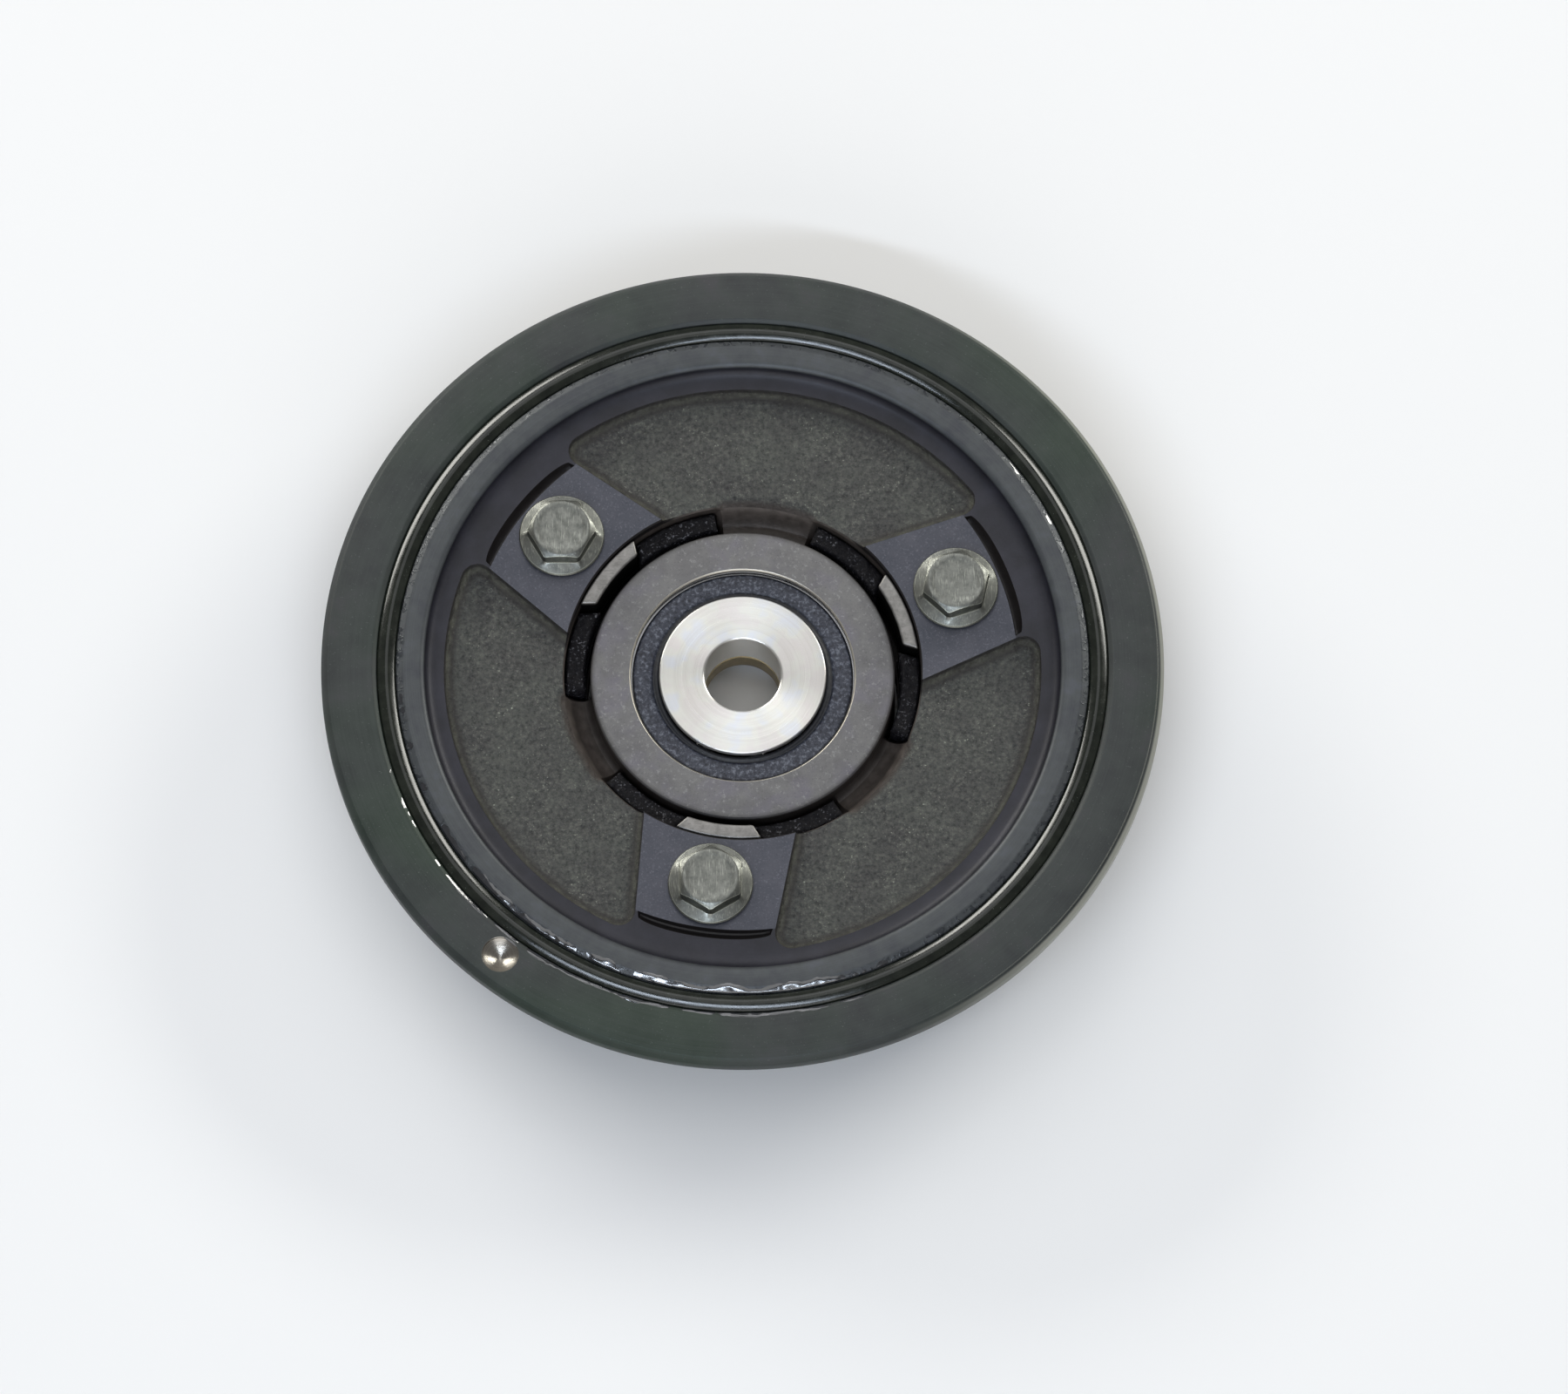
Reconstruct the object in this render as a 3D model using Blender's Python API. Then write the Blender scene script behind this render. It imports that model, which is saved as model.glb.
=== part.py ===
"""Damped flywheel with a cushioned drive ring.

A cast wheel carries a rubber-mounted inertia ring on its rim and a sealed ball bearing in its
boss. The three lugs of a drive ring turn it through six rubber blocks, and a bolted rear cover
keeps the drive ring and the blocks in their chamber.

The script is in millimetres and scales each mesh to metres. +Z is the wheel's axis with the front
face up, and the origin is on the axis, in the plane of the back of the rear cover."""

import math

import bmesh
import bpy
from mathutils import Matrix

MM = 0.001
GAP = 0.3  # clearance between pieces that touch

# Segments around a turned piece.
FINE = 60
MEDIUM = 48
SMALL = 32

# Angles about the axis, in degrees from +X.
LUG_ANGLES = (22.0, 142.0, 262.0)
ARM_ANGLES = (82.0, 202.0, 322.0)
ARM_HALF = 16.5
BALANCE_ANGLE = 231.6

# Heights above the back plane.
COVER_TOP = 5.7
RIM_BACK = 7.0
RING_BACK = 8.0
ARM_BACK = 10.3
CHAMBER_TOP = 16.0
ARM_TOP = 17.0
BLOCK_TOP = 21.0
BOSS_BACK = 1.5
BOSS_TOP = 22.0
POCKET_FLOOR = 22.5
LUG_TOP = 24.5
WEB_TOP = 25.0
RING_TOP = 27.5
RIM_TOP = 28.0

# Radii, from the rim inwards.
RING_OUT = 88.0
RING_SEAT = 82.4
RING_FLANGE = 4.0  # width of the front flange
BALANCE_CIRCLE = 81.3
BALANCE_RADIUS = 3.75
BALANCE_DEPTH = 2.6
RING_IN = 76.4
RIM_OUT = 72.4
FACE_IN = 67.2
RIM_IN = 62.4
POCKET_OUT = 62.4
PAD_OUT = 57.5
COVER_OUT = 57.0
BOLT_CIRCLE = 48.0
WALL_OUT = 46.0
CHAMBER_OUT = 42.2
WEB_BORE = 37.3
COVER_BORE = 36.6
SPIGOT_OUT = 36.0
LUG_IN = 34.0
DRIVE_BORE = 32.4
DRIVE_SLOT = 8.0
BOSS_OUT = 31.8
LIP_IN = 23.3

# Flat pads under the bolt heads: half their width at the web's bore, and how it narrows outwards.
PAD_HALF = 15.75
PAD_SLOPE = -0.056
POCKET_CORNER = 3.5
CHANNEL_HALF = 12.3
CHANNEL_WIDTH = 1.9
CHANNEL_DEPTH = 1.5

# Deep-groove ball bearing, 25 x 52 x 15 mm.
BEARING_OUT = 26.0
BEARING_BORE = 12.5
BEARING_BACK = 5.6
BEARING_WIDTH = 15.0
BEARING_TOP = BEARING_BACK + BEARING_WIDTH
BEARING_MID = BEARING_BACK + BEARING_WIDTH / 2
BALL_PITCH = 19.5
BALL_RADIUS = 3.97
BALL_COUNT = 9
GROOVE_RADIUS = 4.09

# Two bushes narrow the bearing's bore to the shaft bolt.
BUSH_BORE = 8.0
BUSH_OUT = BEARING_BORE - GAP
BUSH_SPLIT = 11.5
BUSH_FLANGE = 17.45

# M8 flange bolts.
BOLT_RADIUS = 4.0
BOLT_LENGTH = 25.0
BOLT_FLANGE = 8.9
BOLT_FLATS = 12.6
BOLT_HEAD = 5.5
BOLT_TURNS = (18.0, 0.0, 30.0)


def clear_scene():
    for old in list(bpy.data.objects):
        bpy.data.objects.remove(old, do_unlink=True)


def material(name, colour, roughness, metallic):
    made = bpy.data.materials.new(name)
    made.use_nodes = True
    shader = made.node_tree.nodes["Principled BSDF"]
    shader.inputs["Base Color"].default_value = (*colour, 1.0)
    shader.inputs["Roughness"].default_value = roughness
    shader.inputs["Metallic"].default_value = metallic
    return made


def shade(mesh):
    mesh.shade_smooth()
    mesh.set_sharp_from_angle(angle=math.radians(32))


def add_object(name, finish, build):
    """Makes an object from the mesh that build() draws, in millimetres, in a bmesh."""
    work = bmesh.new()
    build(work)
    bmesh.ops.recalc_face_normals(work, faces=work.faces)
    mesh = bpy.data.meshes.new(name)
    work.to_mesh(mesh)
    work.free()
    mesh.transform(Matrix.Scale(MM, 4))
    if finish:
        mesh.materials.append(finish)
    shade(mesh)
    obj = bpy.data.objects.new(name, mesh)
    bpy.context.scene.collection.objects.link(obj)
    return obj


def combine(target, helper, operation):
    """Joins or cuts the target with a helper solid, and removes the helper."""
    step = target.modifiers.new(operation, "BOOLEAN")
    step.operation = operation
    step.solver = "EXACT"
    step.object = helper
    bpy.context.view_layer.update()
    graph = bpy.context.evaluated_depsgraph_get()
    target.data = bpy.data.meshes.new_from_object(target.evaluated_get(graph))
    target.modifiers.clear()
    shade(target.data)
    bpy.data.objects.remove(helper, do_unlink=True)


def polar(radius, degrees):
    return (radius * math.cos(math.radians(degrees)), radius * math.sin(math.radians(degrees)))


def span(middle, half):
    return (middle - half, middle + half)


def arc(centre, radius, start, end, steps):
    """Points along an arc about a centre, from one angle in degrees to another."""
    points = []
    for i in range(steps + 1):
        x, y = polar(radius, start + (end - start) * i / steps)
        points.append((centre[0] + x, centre[1] + y))
    return points


def circle_of_vertices(work, radius, height, segments):
    return [work.verts.new((*polar(radius, 360 * i / segments), height)) for i in range(segments)]


def bridge(work, low, high):
    for i in range(len(low)):
        k = (i + 1) % len(low)
        work.faces.new((low[i], low[k], high[k], high[i]))


def turned_ring(name, profile, segments, finish=None):
    """A ring turned from a closed profile of (radius, height) points that stays off the axis."""

    def build(work):
        rows = [circle_of_vertices(work, r, z, segments) for r, z in profile]
        for low, high in zip(rows, rows[1:] + rows[:1]):
            bridge(work, low, high)

    return add_object(name, finish, build)


def turned_solid(name, outline, segments, finish=None):
    """A solid turned from an open outline of (radius, height) points, closed flat at both ends."""

    def build(work):
        rows = [circle_of_vertices(work, r, z, segments) for r, z in outline]
        work.faces.new(rows[0])
        work.faces.new(rows[-1])
        for low, high in zip(rows, rows[1:]):
            bridge(work, low, high)

    return add_object(name, finish, build)


def prism(name, outline, low, high, finish=None):
    """An outline of (x, y) points raised from one height to another."""

    def build(work):
        base = [work.verts.new((x, y, low)) for x, y in outline]
        top = [work.verts.new((x, y, high)) for x, y in outline]
        work.faces.new(base)
        work.faces.new(top)
        bridge(work, base, top)

    return add_object(name, finish, build)


def moved(outline, place):
    return [(x + place[0], y + place[1]) for x, y in outline]


def rotated(outline, degrees):
    c, s = polar(1.0, degrees)
    return [(x * c - y * s, x * s + y * c) for x, y in outline]


def sector(inner, outer, inner_span, outer_span, steps=4):
    """The outline of a ring sector. Each span is the first and last angle at that radius."""
    start, end = outer_span
    points = [polar(outer, start + (end - start) * i / steps) for i in range(steps + 1)]
    start, end = inner_span
    return points + [polar(inner, end + (start - end) * i / steps) for i in range(steps + 1)]


def round_hole(target, radius, place, low, high, segments=20):
    outline = moved([polar(radius, 360 * i / segments) for i in range(segments)], place)
    combine(target, prism("hole", outline, low, high), "DIFFERENCE")


def lug_half_angle(radius):
    """Half the angle that a drive lug fills at a radius: its sides spread outwards."""
    return 11.7 + 0.8 * (radius - LUG_IN)


def build_inertia_ring(finish):
    flange_back = RING_TOP - RING_FLANGE
    profile = [
        (RING_IN, RING_BACK + 0.5),
        (RING_IN + 0.5, RING_BACK),
        (RING_SEAT - 0.8, RING_BACK),
        (RING_SEAT, RING_BACK + 0.8),
        (RING_SEAT, flange_back - 1.0),
        (RING_SEAT + 1.0, flange_back),
        (RING_OUT - 0.4, flange_back),
        (RING_OUT, flange_back + 0.4),
        (RING_OUT, RING_TOP - 1.3),
        (RING_OUT - 1.3, RING_TOP),
        (RING_IN + 0.5, RING_TOP),
        (RING_IN, RING_TOP - 0.5),
    ]
    ring = turned_ring("inertia_ring", profile, FINE, finish)
    drill = [
        (0.05, RING_TOP - BALANCE_DEPTH),
        (BALANCE_RADIUS, RING_TOP - 0.4),
        (BALANCE_RADIUS, RING_TOP + 1.0),
    ]
    cutter = turned_solid("balance_drill", drill, 24)
    x, y = polar(BALANCE_CIRCLE * MM, BALANCE_ANGLE)
    cutter.location = (x, y, 0.0)
    combine(ring, cutter, "DIFFERENCE")


def build_damper_rubber(finish):
    inner, outer = RIM_OUT + GAP, RING_IN - GAP
    middle = (inner + outer) / 2
    bead = arc((middle, RING_TOP - 1.6), middle - inner, 0, 180, 6)
    back = arc((middle, RING_BACK + 2.2), middle - inner, 180, 360, 4)
    turned_ring("damper_rubber", back + bead, MEDIUM, finish)


def pocket_outline(middle):
    """A cast pocket between two pads: its sides follow them, and it is open to the web's bore."""

    def side(x):
        return PAD_HALF + PAD_SLOPE * (x - WEB_BORE)

    reach = POCKET_OUT - POCKET_CORNER
    centre_y = side(POCKET_OUT) + POCKET_CORNER
    centre_x = math.sqrt(reach**2 - centre_y**2)
    lean = math.degrees(math.atan2(centre_y, centre_x))
    start_x = WEB_BORE - 4.0
    edge = [(start_x, side(start_x))] + arc((centre_x, centre_y), POCKET_CORNER, -90, lean, 4)
    first = rotated(edge, middle - 60)
    last = rotated([(x, -y) for x, y in reversed(edge)], middle + 60)
    outer_span = (middle - 60 + lean, middle + 60 - lean)
    inner_lean = math.degrees(math.atan2(edge[0][1], edge[0][0]))
    inner_span = (middle - 60 + inner_lean, middle + 60 - inner_lean)
    steps = 12
    ring = sector(math.hypot(*edge[0]), POCKET_OUT, inner_span, outer_span, steps)
    outside, inside = ring[: steps + 1], ring[steps + 1 :]
    return first + outside[1:-1] + last + inside[1:-1]


def build_casting(finish):
    chamber_floor = COVER_TOP + GAP
    front = [(WEB_BORE, WEB_TOP - 0.3), (WEB_BORE + 0.3, WEB_TOP)]
    fillet = arc((FACE_IN - 3.0, RIM_TOP), 3.0, 270, 360, 4)
    rim = [
        (RIM_OUT - 0.4, RIM_TOP),
        (RIM_OUT, RIM_TOP - 0.4),
        (RIM_OUT, RIM_BACK + 0.5),
        (RIM_OUT - 0.5, RIM_BACK),
        (RIM_IN, RIM_BACK),
        (RIM_IN, CHAMBER_TOP - 2.0),
        (RIM_IN - 2.0, CHAMBER_TOP),
    ]
    wall = [
        (WALL_OUT + 2.0, CHAMBER_TOP),
        (WALL_OUT, CHAMBER_TOP - 2.0),
        (WALL_OUT, chamber_floor),
        (CHAMBER_OUT, chamber_floor),
        (CHAMBER_OUT, CHAMBER_TOP),
        (WEB_BORE, CHAMBER_TOP),
    ]
    wheel = turned_ring("flywheel_casting", front + fillet + rim + wall, FINE, finish)
    seat = BEARING_OUT + 0.2
    boss_profile = [
        (seat, BEARING_TOP + GAP),
        (LIP_IN, BEARING_TOP + GAP),
        (LIP_IN + 1.1, BOSS_TOP),
        (BOSS_OUT - 0.4, BOSS_TOP),
        (BOSS_OUT, BOSS_TOP - 0.4),
        (BOSS_OUT, BOSS_BACK + 0.4),
        (BOSS_OUT - 0.4, BOSS_BACK),
        (seat + 0.5, BOSS_BACK),
        (seat, BOSS_BACK + 0.5),
        (seat, 3.2),
        (seat + 1.3, 3.2),
        (seat + 1.3, 5.5),
        (seat, 5.5),
    ]
    combine(wheel, turned_ring("boss", boss_profile, MEDIUM), "UNION")
    for angle in ARM_ANGLES:
        sides = span(angle, ARM_HALF)
        outline = sector(BOSS_OUT - 0.8, CHAMBER_OUT + 0.8, sides, sides, 6)
        combine(wheel, prism("arm", outline, ARM_BACK, ARM_TOP), "UNION")
        pocket = prism("pocket", pocket_outline(angle), POCKET_FLOOR, WEB_TOP + 1.0)
        combine(wheel, pocket, "DIFFERENCE")
    for angle in LUG_ANGLES:
        outline = sector(43.5, 56.5, span(angle, 10.5), span(angle, 8.5))
        combine(wheel, prism("bolt_boss", outline, chamber_floor, CHAMBER_TOP + 0.7), "UNION")
        sides = span(angle, CHANNEL_HALF)
        outline = sector(PAD_OUT, PAD_OUT + CHANNEL_WIDTH, sides, sides, 8)
        channel = prism("channel", outline, WEB_TOP - CHANNEL_DEPTH, WEB_TOP + 1.0)
        combine(wheel, channel, "DIFFERENCE")
        round_hole(wheel, BOLT_RADIUS + GAP, polar(BOLT_CIRCLE, angle), 3.0, WEB_TOP + 3.0)


def build_rear_cover(finish):
    profile = [
        (COVER_BORE, 0.4),
        (COVER_BORE + 0.4, 0.0),
        (COVER_OUT - 0.8, 0.0),
        (COVER_OUT, 0.8),
        (COVER_OUT, COVER_TOP),
        (COVER_BORE, COVER_TOP),
    ]
    cover = turned_ring("rear_cover", profile, MEDIUM, finish)
    for angle in LUG_ANGLES:
        round_hole(cover, BOLT_RADIUS + GAP, polar(BOLT_CIRCLE, angle), -1.0, COVER_TOP + 1.0)


def build_bolt(name, angle, turn, finish):
    """A hexagon flange bolt about its own axis, moved to its hole."""
    seat = WEB_TOP + GAP
    top = seat + BOLT_HEAD
    corner = BOLT_FLATS / math.sqrt(3)
    tip = seat - BOLT_LENGTH
    shank = [(BOLT_RADIUS - 0.6, tip), (BOLT_RADIUS, tip + 0.6), (BOLT_RADIUS, seat + 0.7)]
    bolt = turned_solid(name, shank, 14, finish)
    flange = [(BOLT_FLANGE, seat), (BOLT_FLANGE, seat + 0.9), (corner - 0.6, seat + 1.9)]
    combine(bolt, turned_solid("flange", flange, 26), "UNION")
    hexagon = prism("hexagon", [polar(corner, 60 * i + 4) for i in range(6)], seat + 0.35, top)
    crown = [(corner + 0.8, seat - 1.0), (corner + 0.8, top - 1.1), (corner - 1.6, top + 0.3)]
    combine(hexagon, turned_solid("crown", crown, 26), "INTERSECT")
    combine(bolt, hexagon, "UNION")
    x, y = polar(BOLT_CIRCLE * MM, angle)
    bolt.location = (x, y, 0.0)
    bolt.rotation_euler = (0.0, 0.0, math.radians(turn - 4))


def build_drive_ring(finish):
    plate_back = COVER_TOP + 0.4
    plate_top = ARM_BACK - 0.7
    plate_out = CHAMBER_OUT - 0.6
    profile = [
        (DRIVE_BORE, 0.8),
        (DRIVE_BORE + 0.3, 0.5),
        (SPIGOT_OUT - 0.3, 0.5),
        (SPIGOT_OUT, 0.8),
        (SPIGOT_OUT, plate_back),
        (plate_out, plate_back),
        (plate_out, plate_top),
        (DRIVE_BORE, plate_top),
    ]
    ring = turned_ring("drive_ring", profile, MEDIUM, finish)
    lug_out = WEB_BORE - GAP
    for angle in LUG_ANGLES:
        inner_side = span(angle, lug_half_angle(LUG_IN) + 0.4)
        outer_side = span(angle, lug_half_angle(plate_out) + 0.4)
        root = sector(LUG_IN - 0.2, plate_out - 0.2, inner_side, outer_side)
        combine(ring, prism("root", root, plate_top - 1.0, CHAMBER_TOP - 0.4), "UNION")
        inner_side = span(angle, lug_half_angle(LUG_IN))
        outer_side = span(angle, lug_half_angle(lug_out))
        lug = sector(LUG_IN, lug_out, inner_side, outer_side, 6)
        combine(ring, prism("lug", lug, plate_top, LUG_TOP), "UNION")
    for angle in ARM_ANGLES:
        near, far, half = DRIVE_BORE - 2.0, SPIGOT_OUT + 2.0, DRIVE_SLOT / 2
        slot = rotated([(near, -half), (far, -half), (far, half), (near, half)], angle)
        combine(ring, prism("slot", slot, -1.0, 4.0), "DIFFERENCE")


def build_rubber_block(name, lug_angle, side, finish):
    """A block between a lug and an arm. side is +1 anticlockwise of the lug, or -1 clockwise."""
    inner, outer, neck = BOSS_OUT + 0.9, CHAMBER_OUT - 0.5, WEB_BORE - GAP
    last = 60.0 - ARM_HALF - 0.55

    def outline(near, far, inset):
        spans = []
        for radius in (near, far):
            first = lug_half_angle(radius) + 0.95 + inset
            spans.append(sorted((lug_angle + side * first, lug_angle + side * (last - inset))))
        return sector(near, far, spans[0], spans[1], 5)

    block = prism(name, outline(inner, outer, 0.0), ARM_BACK - 0.4, CHAMBER_TOP - GAP, finish)
    upper = prism("neck", outline(inner + 0.3, neck, 0.15), CHAMBER_TOP - 2.0, BLOCK_TOP)
    combine(block, upper, "UNION")


def build_races(finish):
    low, high = BEARING_BACK, BEARING_TOP
    middle = (BALL_PITCH, BEARING_MID)
    seal_seat, land, shoulder = 23.4, 22.2, 17.0
    outer_turn = math.degrees(math.acos((land - BALL_PITCH) / GROOVE_RADIUS))
    inner_turn = math.degrees(math.acos((BALL_PITCH - shoulder) / GROOVE_RADIUS))
    outer = [
        (BEARING_OUT - 0.5, low),
        (BEARING_OUT, low + 0.5),
        (BEARING_OUT, high - 0.5),
        (BEARING_OUT - 0.5, high),
        (seal_seat, high),
        (seal_seat, high - 1.6),
        (land, high - 1.6),
    ]
    outer += arc(middle, GROOVE_RADIUS, outer_turn, -outer_turn, 5)
    outer += [(land, low + 1.6), (seal_seat, low + 1.6), (seal_seat, low)]
    turned_ring("bearing_outer_race", outer, MEDIUM, finish)
    inner = [
        (BEARING_BORE, low + 0.5),
        (BEARING_BORE + 0.5, low),
        (shoulder, low),
    ]
    inner += arc(middle, GROOVE_RADIUS, 180 + inner_turn, 180 - inner_turn, 5)
    inner += [(shoulder, high), (BEARING_BORE + 0.5, high), (BEARING_BORE, high - 0.5)]
    turned_ring("bearing_inner_race", inner, SMALL, finish)


def build_seal(name, low, finish):
    profile = [(17.35, low + 0.2), (17.6, low), (23.1, low), (23.1, low + 1.0), (17.35, low + 1.0)]
    turned_ring(name, profile, SMALL, finish)


def build_cage(finish):
    """A crown cage: a ring behind the balls with a prong in each gap between them."""
    inner, outer = 18.7, 20.3
    back = BEARING_MID - BALL_RADIUS - 1.6
    profile = [(inner, back), (outer, back), (outer, back + 1.2), (inner, back + 1.2)]
    cage = turned_ring("bearing_cage", profile, 36, finish)
    for i in range(BALL_COUNT):
        sides = span(360 / BALL_COUNT * (i + 0.5), 6.4)
        outline = sector(inner + 0.15, outer - 0.15, sides, sides, 2)
        combine(cage, prism("prong", outline, back + 0.5, BEARING_MID + 2.0), "UNION")


def build_ball(name, angle, finish):
    def build(work):
        bmesh.ops.create_uvsphere(work, u_segments=10, v_segments=6, radius=BALL_RADIUS)

    ball = add_object(name, finish, build)
    x, y = polar(BALL_PITCH * MM, angle)
    ball.location = (x, y, BEARING_MID * MM)


def build_snap_ring(finish):
    """An internal snap ring: open at one side, with an eared end on each side of the opening."""
    outer, inner, ear = BEARING_OUT + 1.2, 24.2, 21.4
    outline = [polar(outer, 8 + 344 * i / 60) for i in range(61)]
    outline += [polar(ear, 352), polar(ear, 344), polar(inner, 342)]
    outline += [polar(inner, 342 - 324 * i / 48) for i in range(1, 48)]
    outline += [polar(inner, 18), polar(ear, 16), polar(ear, 8)]
    ring = prism("snap_ring", rotated(outline, 270), 3.4, 5.3, finish)
    for angle in (258, 282):
        round_hole(ring, 0.9, polar(23.2, angle), 2.0, 7.0, 12)


def build_bushes(finish, rear_finish):
    seat = BEARING_TOP + GAP
    front = [
        (BUSH_BORE, BUSH_SPLIT),
        (BUSH_OUT, BUSH_SPLIT),
        (BUSH_OUT, seat),
        (BUSH_FLANGE, seat),
        (BUSH_FLANGE, seat + 1.1),
        (BUSH_FLANGE - 0.3, seat + 1.4),
        (BUSH_BORE + 0.2, seat + 1.4),
        (BUSH_BORE, seat + 1.2),
    ]
    turned_ring("front_bush", front, SMALL, finish)
    low, high = BEARING_BACK + 0.3, BUSH_SPLIT - GAP
    bore = BUSH_BORE - 0.1
    rear = [(bore, low + 0.3), (bore + 0.3, low), (BUSH_OUT, low), (BUSH_OUT, high), (bore, high)]
    turned_ring("rear_bush", rear, SMALL, rear_finish)


def main():
    clear_scene()
    cast_iron = material("cast_iron", (0.075, 0.075, 0.072), 0.55, 0.6)
    phosphate = material("phosphated_iron", (0.060, 0.070, 0.068), 0.5, 0.6)
    rubber = material("black_rubber", (0.012, 0.012, 0.013), 0.6, 0.0)
    zinc = material("zinc_plate", (0.30, 0.31, 0.24), 0.35, 0.9)
    steel = material("bare_steel", (0.60, 0.58, 0.55), 0.3, 1.0)
    chrome_steel = material("bearing_steel", (0.55, 0.55, 0.56), 0.15, 1.0)
    nitrile = material("seal_rubber", (0.040, 0.047, 0.070), 0.55, 0.0)
    nylon = material("cage_nylon", (0.45, 0.35, 0.20), 0.5, 0.0)
    spring_steel = material("spring_steel", (0.05, 0.05, 0.055), 0.4, 0.8)
    turned_steel = material("turned_steel", (0.78, 0.77, 0.74), 0.25, 1.0)
    bronze = material("bronze", (0.32, 0.26, 0.15), 0.4, 0.9)

    build_inertia_ring(phosphate)
    build_damper_rubber(rubber)
    build_casting(cast_iron)
    build_rear_cover(phosphate)
    build_drive_ring(steel)
    for i, angle in enumerate(LUG_ANGLES):
        build_bolt(f"flange_bolt_{i + 1}", angle, BOLT_TURNS[i], zinc)
        build_rubber_block(f"rubber_block_{2 * i + 1}", angle, -1, rubber)
        build_rubber_block(f"rubber_block_{2 * i + 2}", angle, 1, rubber)
    build_races(chrome_steel)
    build_seal("front_seal", BEARING_TOP - 1.3, nitrile)
    build_seal("rear_seal", BEARING_BACK + 0.3, nitrile)
    build_cage(nylon)
    for i in range(BALL_COUNT):
        build_ball(f"bearing_ball_{i + 1}", 360 / BALL_COUNT * i, chrome_steel)
    build_snap_ring(spring_steel)
    build_bushes(turned_steel, bronze)


main()
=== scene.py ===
"""Looks for the damped flywheel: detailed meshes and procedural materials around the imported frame."""

import math

import bmesh
import bpy
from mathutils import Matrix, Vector, noise


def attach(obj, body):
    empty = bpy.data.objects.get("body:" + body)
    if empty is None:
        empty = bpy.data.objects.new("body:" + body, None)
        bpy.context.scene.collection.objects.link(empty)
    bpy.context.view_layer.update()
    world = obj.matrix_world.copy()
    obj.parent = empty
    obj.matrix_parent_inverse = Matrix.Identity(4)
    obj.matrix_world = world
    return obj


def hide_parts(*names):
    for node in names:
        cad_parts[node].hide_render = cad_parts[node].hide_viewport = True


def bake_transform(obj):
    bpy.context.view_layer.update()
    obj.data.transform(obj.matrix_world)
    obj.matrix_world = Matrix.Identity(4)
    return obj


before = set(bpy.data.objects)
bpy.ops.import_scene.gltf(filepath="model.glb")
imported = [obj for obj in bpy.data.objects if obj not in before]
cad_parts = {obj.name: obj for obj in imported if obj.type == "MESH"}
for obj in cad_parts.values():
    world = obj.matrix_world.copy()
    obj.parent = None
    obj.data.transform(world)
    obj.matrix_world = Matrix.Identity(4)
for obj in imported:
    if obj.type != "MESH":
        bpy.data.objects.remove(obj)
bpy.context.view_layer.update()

MM = 0.001

# Angles about the axis, in degrees from +X.
LUG_ANGLES = (22, 142, 262)
ARM_ANGLES = (82, 202, 322)
ARM_HALF = 16.5
ARM_EDGE = 40.0
BALANCE_ANGLE = 231.6
BOLT_TURNS = (18, 0, 30)

# Heights in millimetres above the rear cover's back.
WEB_TOP = 25.0
POCKET_FLOOR = 22.5
RING_TOP = 27.5
RIM_TOP = 28.0
BOSS_TOP = 22.0
LUG_TOP = 24.5
CHAMBER_TOP = 16.0
BEARING_BACK, BEARING_TOP = 5.6, 20.6
BEARING_MID = 13.1

# Radii in millimetres.
RING_OUT, RING_SEAT, RING_IN = 88, 82.4, 76.4
BALANCE_CIRCLE = 81.3
RIM_OUT = 72.4
LAND_OUT = 62.9
POCKET_OUT = 62.4
PAD_OUT = 57.5
BOLT_CIRCLE = 48.0
BORE_EDGE, WEB_BORE = 37.6, 37.3
BOSS_OUT = 31.8
BUSH_BORE = 8.0
BALL_CIRCLE, BALL, GROOVE = 19.5, 3.95, 4.09
PAD_HALF, PAD_SLOPE = 15.75, -0.056
CORNER = 3.5

# Worn edges as (distance inside, drop), and a pocket's wall as (distance inside, height).
RIM_EDGE = ((1.7, 0), (1.5, 0.03), (1.3, 0.11), (0.35, 0.60), (0.2, 0.70), (0.08, 0.84), (0, 1.1))
RING_EDGE = ((1.15, 0), (1, 0.02), (0.85, 0.08), (0.25, 0.39), (0.12, 0.50), (0.04, 0.62), (0, 0.8))
WALL_PROFILE = (
    (0, 0), (0.07, -0.12), (0.2, -0.8), (0.45, -1.3), (0.9, -1.68), (1.6, -2), (2.5, -2.3),
    (CORNER, POCKET_FLOOR - WEB_TOP),
)


# ---------------- meshes

def polar(radius, degrees, z=None):
    x = radius * math.cos(math.radians(degrees))
    y = radius * math.sin(math.radians(degrees))
    return (x, y) if z is None else (x, y, z)


def smooth(low, high, x):
    t = min(1, max(0, (x - low) / (high - low)))
    return t * t * (3 - 2 * t)


def noise_at(point, size, seed=0):
    """Noise between about -1 and 1 whose lumps are this size."""
    return noise.noise(Vector(point) / size + Vector((seed, seed * 1.7, seed * 0.3)))


def ring_noise(degrees, count, seed):
    """Noise around a circle, with about this many lumps in a turn."""
    x, y = polar(count / 6.283, degrees)
    return noise.noise(Vector((x, y, seed)))


def corner_drop(inside, profile):
    """How far a worn edge has fallen at a place this far inside it."""
    for (far, low), (near, high) in zip(profile, profile[1:]):
        if inside >= near:
            return low + (high - low) * max(0, (far - inside) / (far - near))
    return profile[-1][1]


def near(radius, height, *steps):
    """Points of a profile, given by how far out and up they are from one place."""
    return [(radius + out, height + up) for out, up in steps]


def arc(centre, radius, start, end, steps):
    points = []
    for i in range(steps + 1):
        x, y = polar(radius, start + (end - start) * i / steps)
        points.append((centre[0] + x, centre[1] + y))
    return points


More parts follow.
